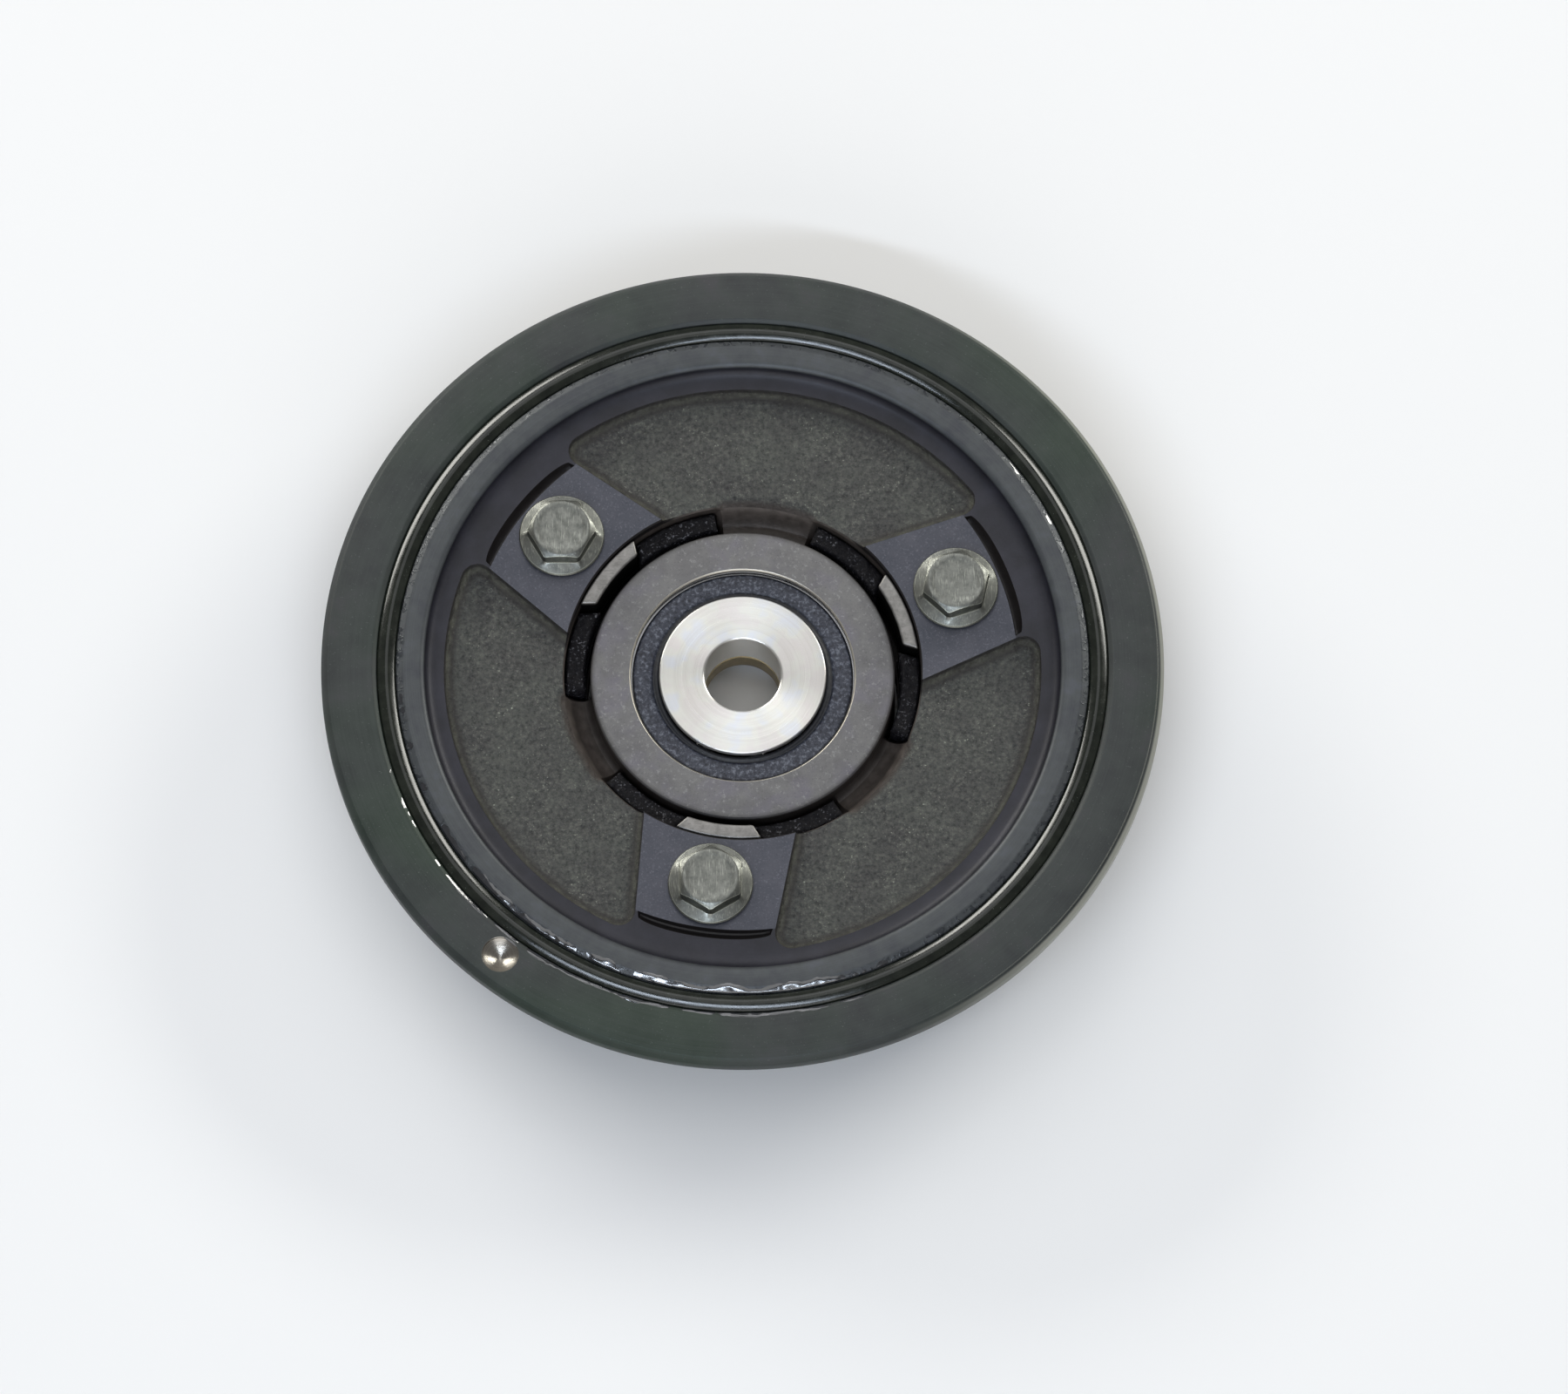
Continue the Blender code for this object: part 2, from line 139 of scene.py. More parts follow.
class Shell:
    """Points in millimetres and faces with material indices, from which a mesh is made."""

    def __init__(self):
        self.points = []
        self.faces = []
        self.kinds = []

    def row(self, points):
        start = len(self.points)
        self.points.extend(points)
        return list(range(start, start + len(points)))

    def face(self, corners, kind=0):
        self.faces.append(corners)
        self.kinds.append(kind)

    def strip(self, low, high, closed=True, kind=0):
        count = len(low)
        for i in range(count if closed else count - 1):
            k = (i + 1) % count
            self.face((low[i], low[k], high[k], high[i]), kind)

    def grid(self, rows, kind=0):
        rows = [self.row(points) for points in rows]
        for low, high in zip(rows, rows[1:]):
            self.strip(low, high, False, kind)
        return rows

    def lathe(self, profile, segments, kind=0, closed=True, wobble=None):
        """A turned shell. wobble(degrees, index) moves a profile point by (radius, height)."""
        rows = []
        for index, (radius, height) in enumerate(profile):
            points = []
            for i in range(segments):
                degrees = 360 * i / segments
                dr, dz = wobble(degrees, index) if wobble else (0, 0)
                points.append(polar(radius + dr, degrees, height + dz))
            rows.append(self.row(points))
        pairs = list(zip(rows, rows[1:]))
        if closed:
            pairs.append((rows[-1], rows[0]))
        for low, high in pairs:
            self.strip(low, high, True, kind)
        return rows

    def plug(self, profile, segments, place):
        """A turned solid with flat ends, whose axis stands at this place."""
        rows = self.lathe(profile, segments, 0, False)
        self.face(list(reversed(rows[0])))
        self.face(rows[-1])
        x, y, z = (*place, 0)[:3]
        self.points = [(px + x, py + y, pz + z) for px, py, pz in self.points]

    def prism(self, outline, low, high, kind=0):
        base = self.row([(x, y, low) for x, y in outline])
        top = self.row([(x, y, high) for x, y in outline])
        self.strip(base, top, True, kind)
        self.face(list(reversed(base)), kind)
        self.face(top, kind)

    def object(self, name, materials, sharp=32, weld=0.004):
        mesh = bpy.data.meshes.new(name)
        mesh.from_pydata([(x * MM, y * MM, z * MM) for x, y, z in self.points], [], self.faces)
        for index, polygon in enumerate(mesh.polygons):
            polygon.material_index = self.kinds[index]
        work = bmesh.new()
        work.from_mesh(mesh)
        bmesh.ops.remove_doubles(work, verts=work.verts, dist=weld * MM)
        bmesh.ops.recalc_face_normals(work, faces=work.faces)
        work.to_mesh(mesh)
        work.free()
        mesh.shade_smooth()
        mesh.set_sharp_from_angle(angle=math.radians(sharp))
        for material in materials:
            mesh.materials.append(material)
        made = bpy.data.objects.new(name, mesh)
        bpy.context.scene.collection.objects.link(made)
        return made


def applied(target, kind, **settings):
    """Adds a modifier and bakes its result into the mesh."""
    modifier = target.modifiers.new(kind, kind)
    for key, value in settings.items():
        setattr(modifier, key, value)
    bpy.context.view_layer.update()
    graph = bpy.context.evaluated_depsgraph_get()
    target.data = bpy.data.meshes.new_from_object(target.evaluated_get(graph))
    target.modifiers.clear()


def cut(target, cutter):
    applied(target, "BOOLEAN", operation="DIFFERENCE", solver="EXACT", object=cutter)
    bpy.data.objects.remove(cutter, do_unlink=True)
    target.data.set_sharp_from_angle(angle=math.radians(32))


def placed(made, body, slot, *nodes):
    """Rides the piece on its body, and hides the CAD nodes it stands for."""
    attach(made, body)
    if nodes:
        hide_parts(*nodes)
    return made


# ---------------- materials

class Look:
    """A Principled material and its nodes. Lengths are in millimetres."""

    def __init__(self, name, **constants):
        self.material = bpy.data.materials.new(name)
        self.material.use_nodes = True
        self.tree = self.material.node_tree
        self.shader = self.tree.nodes["Principled BSDF"]
        for key, value in constants.items():
            self.shader.inputs[key.replace("_", " ")].default_value = value
        self.place = self.vector("SCALE", self.node("TexCoord").outputs["Object"], 1 / MM)
        self.x, self.y, self.z = self.node("SeparateXYZ", {0: self.place}).outputs

    def node(self, kind, inputs=(), **settings):
        """A new node, with its inputs by name or number."""
        made = self.tree.nodes.new("ShaderNode" + kind)
        for key, value in settings.items():
            setattr(made, key, value)
        for key, value in dict(inputs).items():
            self.put(made.inputs[key], value)
        return made

    def put(self, socket, value):
        if isinstance(value, bpy.types.NodeSocket):
            self.tree.links.new(value, socket)
        elif isinstance(value, tuple) and len(value) == 3 and len(socket.default_value) == 4:
            socket.default_value = (*value, 1)
        elif value is not None:
            socket.default_value = value

    def vector(self, operation, first, second):
        other = "Scale" if operation == "SCALE" else 1
        return self.node("VectorMath", {0: first, other: second}, operation=operation).outputs[0]

    def math(self, operation, *values):
        return self.node("Math", enumerate(values), operation=operation).outputs[0]

    def add(self, first, second):
        return self.math("ADD", first, second)

    def times(self, first, second):
        return self.math("MULTIPLY", first, second)

    def noise(self, size, detail=2, rough=0.5, source=None, stretch=None, distortion=0):
        """Noise from 0 to 1 whose lumps are about this size."""
        source = self.place if source is None else source
        if stretch:
            source = self.vector("MULTIPLY", source, stretch)
        inputs = {"Vector": source, "Scale": 1 / size, "Detail": detail, "Roughness": rough}
        return self.node("TexNoise", {**inputs, "Distortion": distortion}).outputs[0]

    def cells(self, size, smoothness):
        """Rounded cells of about this size."""
        inputs = {"Vector": self.place, "Scale": 1 / size, "Smoothness": smoothness}
        return self.node("TexVoronoi", inputs, feature="SMOOTH_F1").outputs[0]

    def length(self, x, y):
        return self.math("SQRT", self.add(self.times(x, x), self.times(y, y)))

    def radius(self):
        return self.length(self.x, self.y)

    def turning(self, pitch, drift=0.15, radius=None):
        """Marks of a lathe tool: noise along the radius that drifts around the axis."""
        along = self.math("DIVIDE", self.radius() if radius is None else radius, pitch)
        across = [self.times(axis, drift / 20) for axis in (self.x, self.y)]
        return self.noise(1, 3, 0.6, self.node("CombineXYZ", enumerate((along, *across))).outputs[0])

    def span(self, value, low, high, to_low=0, to_high=1):
        """Maps low..high to to_low..to_high, clamped."""
        return self.node("MapRange", enumerate((value, low, high, to_low, to_high))).outputs[0]

    def mix(self, factor, first, second):
        return self.node("Mix", {"Factor": factor, 6: first, 7: second}, data_type="RGBA").outputs[2]

    def ramp(self, factor, *stops):
        node = self.node("ValToRGB", {0: factor})
        elements = node.color_ramp.elements
        while len(elements) < len(stops):
            elements.new(0.5)
        for element, (position, colour) in zip(elements, stops):
            element.position = position
            element.color = (*colour, 1)
        return node.outputs[0]

    def tones(self, noise, dark, light):
        return self.ramp(noise, (0.3, dark), (0.7, light))

    def bump(self, height, depth, normal=None):
        """Bump whose heights run over this depth in millimetres."""
        inputs = {"Strength": 1, "Distance": depth * MM, "Height": height, "Normal": normal}
        return self.node("Bump", inputs).outputs[0]

    def outside_edges(self, width, power=1):
        """As much as power on outside edges, and 0 on flat faces."""
        bevel = self.node("Bevel", {"Radius": width * MM}, samples=4).outputs[0]
        normal = self.node("NewGeometry").outputs["Normal"]
        dot = self.vector("DOT_PRODUCT", bevel, normal).node.outputs["Value"]
        return self.span(dot, 0.995, 0.93, 0, power)

    def over(self, colour, value, low=0, high=1, amount=1):
        """Lays a colour over the base, from none where the value is low to amount where it is high."""
        self.base = self.mix(self.span(value, low, high, 0, amount), self.base, colour)

    def finished(self, roughness, normal=None):
        inputs = {"Base Color": self.base, "Roughness": roughness, "Normal": normal}
        for key, value in inputs.items():
            self.put(self.shader.inputs[key], value)
        return self.material


def phosphate_look():
    """Green-black iron, bluer in broad patches, with its edges and outer chamfer lightened on the +X side:
    partly wear, partly a painted highlight.
    """
    look = Look("phosphated_iron", Metallic=0.35, IOR=1.5)
    mottle = look.noise(9, 4, 0.6)
    grain = look.noise(0.5, 3, 0.6)
    turned = look.turning(0.35)
    broad = look.noise(48, distortion=0.6)
    blues = (0.3, (0.025, 0.027, 0.029)), (0.55, (0.036, 0.041, 0.040)), (0.72, (0.046, 0.045, 0.050))
    look.base = look.tones(mottle, (0.018, 0.030, 0.021), (0.034, 0.048, 0.037))
    look.over(look.ramp(mottle, *blues), broad, 0.4, 0.6)
    look.over((0.050, 0.060, 0.055), turned, 0.35, 0.65, 0.25)
    look.over((0.16, 0.18, 0.165), look.noise(0.35, 1), 0.70, 0.80, 0.35)
    # Painted highlight: the outside edges and the outer chamfer are lightened only on the +X side, where the
    # right-hand light falls; on the edges it is partly wear.
    wear_and_sheen_side = look.span(look.add(look.x, look.times(broad, 30)), 50, 85)
    chamfer = look.span(look.radius(), RING_OUT - 0.9, RING_OUT - 0.55, 0, 0.45)
    worn = look.times(look.math("MAXIMUM", look.outside_edges(0.45), chamfer), wear_and_sheen_side)
    look.over((0.56, 0.56, 0.48), worn)
    rough = look.span(look.add(mottle, look.times(grain, 0.5)), 0.4, 1.1, 0.40, 0.54)
    return look.finished(rough, look.bump(turned, 0.010, look.bump(grain, 0.012)))


def rim_face_look():
    """Machined rim beside the rubber, with smears of bonding agent."""
    look = Look("rim_face", Metallic=0.3, IOR=1.5)
    turned = look.turning(0.28)
    greys = (0.3, (0.040, 0.043, 0.051)), (0.55, (0.056, 0.062, 0.065)), (0.72, (0.066, 0.072, 0.084))
    look.base = look.ramp(look.noise(5, 4, 0.65), *greys)
    look.over((0.085, 0.092, 0.10), turned, 0.4, 0.7, 0.25)
    smear = look.span(look.noise(1.6, 3, 0.6, distortion=0.8), 0.50, 0.60)
    smear = look.times(smear, look.span(look.radius(), RIM_OUT - 2.2, RIM_OUT - 0.4))
    look.over((0.020, 0.023, 0.028), smear, 0, 1, 0.6)
    bumped = look.bump(turned, 0.012, look.bump(look.noise(0.45, 3, 0.6), 0.012))
    return look.finished(look.span(smear, 0, 1, 0.42, 0.16), look.bump(smear, 0.05, bumped))


def land_look():
    """Machined flats of the web: bluish grey on the pads, and darker around them."""
    look = Look("machined_iron", Metallic=0.3, IOR=1.5)
    mottle = look.noise(7, 4, 0.6)
    grain = look.noise(0.5, 3, 0.65)
    look.base = look.tones(mottle, (0.046, 0.050, 0.066), (0.070, 0.072, 0.090))
    look.over((0.15, 0.15, 0.18), look.noise(0.42, 2, 0.6), 0.56, 0.72, 0.5)
    look.over((0.022, 0.022, 0.034), look.noise(0.5, 2, 0.6), 0.42, 0.28, 0.5)
    dark = look.tones(mottle, (0.012, 0.012, 0.017), (0.023, 0.023, 0.033))
    look.over(dark, look.radius(), PAD_OUT - 0.1, PAD_OUT + 0.2)
    bumped = look.bump(look.turning(0.25), 0.010, look.bump(grain, 0.022))
    return look.finished(look.span(grain, 0.3, 0.7, 0.38, 0.5), bumped)


def rough_cast_look():
    """Sand-cast surface: grain with painted highlights on its peaks, painted glints, painted shade in its
    pits, and painted shade on the pockets' walls with a painted highlight along a band of them.
    """
    look = Look("cast_iron", Metallic=0.25, IOR=1.5)
    z, floor = look.z, POCKET_FLOOR
    lumps = look.noise(2.4, 3, 0.6)
    grain = look.noise(0.95, 4, 0.8)
    patches = look.noise(5, 3, 0.65)
    look.base = look.tones(look.noise(11, 3, 0.6), (0.046, 0.045, 0.045), (0.066, 0.070, 0.063))
    # Painted highlight on the grain's peaks, in patches, and painted glints on sparse specks, which are also
    # smoother.
    painted_peak_highlight = look.times(look.span(grain, 0.50, 0.70), look.span(patches, 0.35, 0.65, 0.45, 1))
    look.over((0.14, 0.145, 0.125), painted_peak_highlight)
    painted_glints = look.span(look.noise(0.55), 0.64, 0.76)
    look.over((0.36, 0.38, 0.31), look.times(painted_glints, look.span(patches, 0.45, 0.62, 0.1, 0.9)))
    # Painted shade in the grain's pits.
    look.over((0.012, 0.012, 0.014), grain, 0.48, 0.32, 0.85)
    # Painted shade on the pockets' walls and the floor's edge beside them, with a painted highlight along a
    # band of the walls' rounded lower part.
    crest = look.times(look.span(z, floor + 0.5, floor + 0.85), look.span(z, floor + 1.75, floor + 1.25))
    grit = look.span(look.noise(2.2, 3, 0.6), 0.36, 0.66, 0.25, 1)
    wall = look.mix(look.times(grit, crest), (0.026, 0.023, 0.022), (0.088, 0.088, 0.068))
    look.over(wall, z, floor + 0.16, floor + 0.5, 0.8)
    brown = look.tones(lumps, (0.044, 0.037, 0.033), (0.080, 0.068, 0.061))
    look.over(brown, z, floor - 0.2, floor - 0.8)
    height = look.add(look.times(lumps, 1.2), look.add(grain, look.times(look.cells(0.9, 0.5), -0.5)))
    return look.finished(look.span(painted_glints, 0, 1, 0.56, 0.32), look.bump(height, 0.45))


def arm_look():
    """Smooth brown skin of the arms, with painted shade towards the boss, in the channels and on the bore's
    upper wall, and deep in the chamber.
    """
    look = Look("cast_cove", Metallic=0.3, IOR=1.5)
    mottle = look.noise(2.5, 4, 0.6)
    look.base = look.tones(mottle, (0.050, 0.042, 0.037), (0.094, 0.079, 0.070))
    # Painted shade: darker towards the boss, in the channels and on the upper wall of the web's bore, and
    # nearly black low in the chamber.
    look.over((0.014, 0.011, 0.010), look.radius(), 34.5, 32.5, 0.8)
    look.over((0.013, 0.011, 0.011), look.z, POCKET_FLOOR - 0.1, POCKET_FLOOR + 0.2)
    look.over((0.008, 0.007, 0.007), look.z, CHAMBER_TOP + 0.8, CHAMBER_TOP - 0.5)
    rough = look.span(mottle, 0.3, 0.7, 0.36, 0.5)
    return look.finished(rough, look.bump(look.noise(0.6, 3, 0.6), 0.05))


def boss_look():
    look = Look("boss_face", Metallic=0.35, IOR=1.5)
    grain = look.noise(0.4, 3, 0.65)
    look.base = look.tones(look.noise(4, 4, 0.6), (0.122, 0.119, 0.122), (0.170, 0.168, 0.166))
    look.over((0.155, 0.145, 0.180), look.noise(6), 0.5, 0.7, 0.5)
    look.over((0.30, 0.30, 0.30), look.noise(0.7, 2, 0.6), 0.58, 0.72, 0.5)
    look.over((0.055, 0.052, 0.055), grain, 0.44, 0.30, 0.5)
    # Painted shade on the boss's rounded outer edge.
    edge = look.span(look.radius(), BOSS_OUT - 1.2, BOSS_OUT - 0.1, 0, 0.7)
    bumped = look.bump(look.turning(0.3), 0.012, look.bump(grain, 0.018))
    look.over((0.035, 0.031, 0.028), edge)
    return look.finished(look.span(grain, 0.3, 0.7, 0.42, 0.55), bumped)


def lip_look():
    """Freshly cut chamfer of the bearing's seat."""
    look = Look("cut_edge", Metallic=1)
    look.base = look.tones(look.noise(9), (0.50, 0.47, 0.41), (0.62, 0.59, 0.52))
    rough = look.span(look.noise(5), 0.3, 0.7, 0.34, 0.42)
    return look.finished(rough, look.bump(look.turning(0.4), 0.003))


def bead_look():
    """Glossy moulded rubber of the damper, with specks and a fine skin."""
    look = Look("damper_rubber", Metallic=0, IOR=1.52)
    mottle = look.noise(3, 3, 0.6)
    look.base = look.tones(mottle, (0.004, 0.006, 0.004), (0.014, 0.017, 0.012))
    look.over((0.13, 0.15, 0.13), look.noise(0.4, 1), 0.72, 0.78, 0.4)
    return look.finished(look.span(mottle, 0.3, 0.7, 0.13, 0.19), look.bump(look.noise(5), 0.012))


def agent_look():
    """Bonding agent squeezed out beside the rubber: a glossy blue-black skin."""
    look = Look("bonding_agent", Metallic=0, IOR=2.2)
    look.base = look.tones(look.noise(1.5), (0.002, 0.003, 0.005), (0.006, 0.008, 0.014))
    rough = look.span(look.noise(0.9), 0.35, 0.65, 0.12, 0.19)
    return look.finished(rough, look.bump(look.noise(1.2), 0.03))


def block_look():
    look = Look("black_rubber", Metallic=0, IOR=1.5, Specular_IOR_Level=0.16)
    grain = look.noise(0.45, 3, 0.7)
    look.base = look.ramp(grain, (0.35, (0.001, 0.001, 0.002)), (0.75, (0.008, 0.007, 0.009)))
    clumps = look.span(look.noise(5), 0.42, 0.62, 0.15, 1)
    crumbs = look.times(look.span(look.noise(0.6, 2, 0.7), 0.58, 0.68), clumps)
    look.over((0.17, 0.17, 0.19), crumbs, 0, 1, 0.7)
    return look.finished(look.span(crumbs, 0, 1, 0.60, 0.22), look.bump(grain, 0.22))


def zinc_look():
    """Yellowish zinc plate with hairlines, and outside edges lightened partly by wear and partly by a painted
    highlight.
    """
    look = Look("zinc_plate", Metallic=1)
    mottle = look.noise(1.8, 4, 0.65)
    hair = look.noise(0.25, stretch=(1, 0.12, 1))
    look.base = look.tones(mottle, (0.125, 0.13, 0.12), (0.225, 0.23, 0.21))
    look.over((0.42, 0.43, 0.38), hair, 0.55, 0.72, 0.5)
    # Lighter outside edges: partly wear, partly a painted highlight.
    look.over((0.70, 0.72, 0.60), look.outside_edges(0.35, 0.7))
    bumped = look.bump(hair, 0.008, look.bump(look.noise(0.5, 3, 0.6), 0.014))
    return look.finished(look.span(mottle, 0.3, 0.7, 0.46, 0.28), bumped)


def lug_look():
    look = Look("bare_steel", Metallic=0.9)
    mottle = look.noise(1.6, 4, 0.65)
    look.base = look.tones(mottle, (0.165, 0.160, 0.152), (0.31, 0.30, 0.288))
    scratch = look.noise(0.22, stretch=(0.15, 1, 1))
    look.over((0.12, 0.115, 0.11), scratch, 0.6, 0.72, 0.6)
    look.over((0.70, 0.69, 0.65), look.outside_edges(0.3, 0.5))
    # Painted shade on the lug's sides below its top.
    look.over((0.012, 0.011, 0.011), look.z, LUG_TOP - 0.4, LUG_TOP - 1.1)
    rough = look.span(mottle, 0.3, 0.7, 0.34, 0.5)
    return look.finished(rough, look.bump(look.noise(0.5, 3, 0.6), 0.02))


def seal_look():
    look = Look("seal_rubber", Metallic=0, IOR=1.5)
    grain = look.noise(0.8, 3, 0.75)
    look.base = look.tones(look.noise(3, 3, 0.6), (0.020, 0.023, 0.037), (0.036, 0.041, 0.060))
    look.over((0.130, 0.142, 0.175), grain, 0.52, 0.64, 0.9)
    look.over((0.006, 0.007, 0.013), grain, 0.46, 0.34, 0.9)
    radius = look.radius()
    # Painted shade in the gaps at the seal's inner and outer borders.
    rings = look.math("MAXIMUM", look.span(radius, 19, 18.7), look.span(radius, 22.7, 22.85))
    look.over((0.004, 0.005, 0.008), rings, 0, 1, 0.92)
    return look.finished(look.span(grain, 0.3, 0.7, 0.50, 0.34), look.bump(grain, 0.09))


def turned_look():
    """Fine-turned steel. The marks run round the axis, so the highlights fan out from it."""
    look = Look("turned_steel", Metallic=1, Anisotropic=0.88, Anisotropic_Rotation=0.25)
    turned = look.turning(0.14, 0.5)
    tints = (0.35, (0.66, 0.635, 0.62)), (0.5, (0.68, 0.68, 0.64)), (0.65, (0.64, 0.66, 0.70))
    look.base = look.ramp(look.noise(5), *tints)
    look.over((0.52, 0.50, 0.47), look.turning(0.9, 0.3), 0.45, 0.7, 0.4)
    # Painted light on the bore's wall and its rounded edge, lightened where little light reaches inside the
    # bore.
    look.over((0.86, 0.85, 0.82), look.radius(), BUSH_BORE + 0.4, BUSH_BORE + 0.1)
    tangent = look.node("Tangent", direction_type="RADIAL", axis="Z")
    look.put(look.shader.inputs["Tangent"], tangent.outputs[0])
    return look.finished(look.span(turned, 0.3, 0.7, 0.26, 0.36), look.bump(turned, 0.006))


def plain_metal(name, dark, light, rough, metallic=1, pitch=0.3):
    look = Look(name, Metallic=metallic)
    mottle = look.noise(2.5, 4, 0.6)
    bumped = look.bump(look.turning(pitch), 0.008, look.bump(look.noise(0.4, 3, 0.6), 0.010))
    look.base = look.tones(mottle, dark, light)
    return look.finished(look.span(mottle, 0.3, 0.7, rough, rough + 0.12), bumped)


def drill_look(x, y):
    """Bright drilled cone with rings from the drill's lips."""
    look = Look("drilled_metal", Metallic=1)
    radius = look.length(look.math("SUBTRACT", look.x, x), look.math("SUBTRACT", look.y, y))
    rings = look.turning(0.16, 0, radius)
    look.base = look.tones(rings, (0.24, 0.22, 0.20), (0.46, 0.44, 0.39))
    return look.finished(0.27, look.bump(rings, 0.02))


def floor_look():
    look = Look("floor", IOR=1.3)
    look.base = look.tones(look.noise(400), (0.868,) * 3, (0.872,) * 3)
    return look.finished(0.75)


# ---------------- the casting

LAND, CAST, RIM, ARM, BOSS, LIP = range(6)
SIDE_STEPS, CORNER_STEPS, OUTER_STEPS = 30, 10, 110
CAST_ROUGH, ARM_ROUGH = 0.11, 0.06


def side_point(offset, radius):
    """Where a pocket's side, moved inwards by offset, crosses a radius. The pad lies on +X."""
    lean = math.atan(PAD_SLOPE)
    c = PAD_HALF - PAD_SLOPE * WEB_BORE + offset / math.cos(lean)
    a, b = 1 + PAD_SLOPE**2, 2 * PAD_SLOPE * c
    x = (-b + math.sqrt(b * b - 4 * a * (c * c - radius * radius))) / (2 * a)
    return (x, PAD_SLOPE * x + c)


def rotated(point, degrees, z):
    c, s = polar(1, degrees)
    return (point[0] * c - point[1] * s, point[0] * s + point[1] * c, z)


def pocket_ring(middle, offset, drop):
    """Points around a pocket, from the bore out along one pad, round, and back along the other."""
    centre = side_point(CORNER, POCKET_OUT - CORNER)
    lean = math.degrees(math.atan(PAD_SLOPE))
    out = math.degrees(math.atan2(centre[1], centre[0]))
    first = side_point(offset, BORE_EDGE)
    turn = arc(centre, CORNER - offset, -90 + lean, out, CORNER_STEPS)
    last = turn[0]
    side = []
    for i in range(SIDE_STEPS):
        t = i / SIDE_STEPS
        side.append((first[0] + (last[0] - first[0]) * t, first[1] + (last[1] - first[1]) * t))
    half = side + turn
    z = WEB_TOP + drop
    points = [rotated(p, middle - 60, z) for p in half]
    start, end = middle - 60 + out, middle + 60 - out
    for i in range(1, OUTER_STEPS):
        points.append(polar(POCKET_OUT - offset, start + (end - start) * i / OUTER_STEPS, z))
    points += [rotated((x, -y), middle + 60, z) for x, y in reversed(half)]
    return points


def rough(point, amount):
    x, y, z = point
    lift = 0.75 * noise_at((x, y, 0), 3.4, 4) + 0.4 * noise_at((x, y, 0), 1.5, 9)
    return (x, y, z + amount * lift)


def pocket_point(point, amount):
    """A rough point of a pocket, which sinks as it nears an arm."""
    x, y, z = rough(point, amount)
    return (x, y, z - arm_sink(x, y))


def arm_sink(x, y):
    """How far the pocket's floor has curved down into the nearest arm."""
    radius, degrees = math.hypot(x, y), math.degrees(math.atan2(y, x))
    away = min(abs((degrees - arm + 180) % 360 - 180) for arm in ARM_ANGLES)
    near = max(0, ARM_EDGE - radius)
    return 0.23 * near**2 * (1 - smooth(ARM_HALF - 3, ARM_HALF + 1.5, away))


def build_pocket(shell, middle):
    """Adds a pocket's walls and floor. Returns its outline on the land, and the top of its bore edge."""
    rings = [pocket_ring(middle, offset, drop) for offset, drop in WALL_PROFILE]
    rows = []
    for index, ring in enumerate(rings):
        amount = 0.0 if index < 2 else CAST_ROUGH * smooth(0.1, 1.4, WALL_PROFILE[index][0])
        rows.append(shell.row([pocket_point(p, amount) for p in ring]))
    for low, high in zip(rows, rows[1:]):
        shell.strip(low, high, False, CAST)
    inner = rings[-1]
    left = inner[: SIDE_STEPS + 1]
    top = inner[SIDE_STEPS + CORNER_STEPS : SIDE_STEPS + CORNER_STEPS + OUTER_STEPS + 1]
    right = list(reversed(inner[-SIDE_STEPS - 1 :]))
    a0 = math.degrees(math.atan2(left[0][1], left[0][0]))
    a1 = math.degrees(math.atan2(right[0][1], right[0][0]))
    a1 += 360 if a1 < a0 else 0
    depth = left[0][2]
    bottom = [polar(BORE_EDGE, a0 + (a1 - a0) * i / OUTER_STEPS) for i in range(OUTER_STEPS + 1)]
    floor = []
    for i in range(SIDE_STEPS + 1):
        v = i / SIDE_STEPS
        line = []
        for k in range(OUTER_STEPS + 1):
            u = k / OUTER_STEPS
            point = []
            for axis in range(2):
                along = left[i][axis] * (1 - u) + right[i][axis] * u
                across = bottom[k][axis] * (1 - v) + top[k][axis] * v
                corner = (1 - v) * (bottom[0][axis] * (1 - u) + bottom[-1][axis] * u)
                corner += v * (top[0][axis] * (1 - u) + top[-1][axis] * u)
                point.append(along + across - corner)
            line.append(pocket_point((*point, depth), CAST_ROUGH))
        floor.append(line)
    shell.grid(floor, CAST)
    start = [shell.points[row[0]] for row in rows]
    end = [shell.points[row[-1]] for row in rows]
    edge = start[:-1] + floor[0] + list(reversed(end[:-1]))
    return rings[0], edge


def build_web(shell):
    """The web's front: land, pads, pockets, channels, and the wall of its bore."""
    outline, bore = [], []
    for lug, pocket in zip(LUG_ANGLES, ARM_ANGLES):
        ring, edge = build_pocket(shell, pocket)
        x, y = side_point(0, BORE_EDGE)
        half = math.degrees(math.atan2(y, x))
        pad = [polar(BORE_EDGE, lug - half + 2 * half * i / 40, WEB_TOP) for i in range(1, 40)]
        outline += pad + ring
        bore += pad + edge
    top = shell.row(bore)
    outer = []
    for x, y, z in bore:
        degrees = math.degrees(math.atan2(y, x))
        outer.append(polar(WEB_BORE, degrees, z - 0.35))
    low = shell.row(outer)
    base = shell.row([(x, y, CHAMBER_TOP) for x, y, z in outer])
    shell.strip(top, low, True, ARM)
    shell.strip(low, base, True, ARM)
    fill_land(shell, outline)


def channel_outline(lug):
    """Angles, widths and depths along the channel outside a pad."""
    half, steps = 14.3, 48
    rows = []
    for i in range(steps + 1):
        t = -1 + 2 * i / steps
        swell = max(0, 1 - t**4) ** 0.25
        rows.append((lug + half * t, 0.05 + 2.05 * swell, 1.6 * swell))
    return rows


# Shares of a channel's width and depth.
CHANNEL_PROFILE = (
    (0, 0), (0.03, 0.75), (0.12, 0.95), (0.3, 1), (0.5, 0.9), (0.72, 0.6), (0.88, 0.25), (1, 0),
)


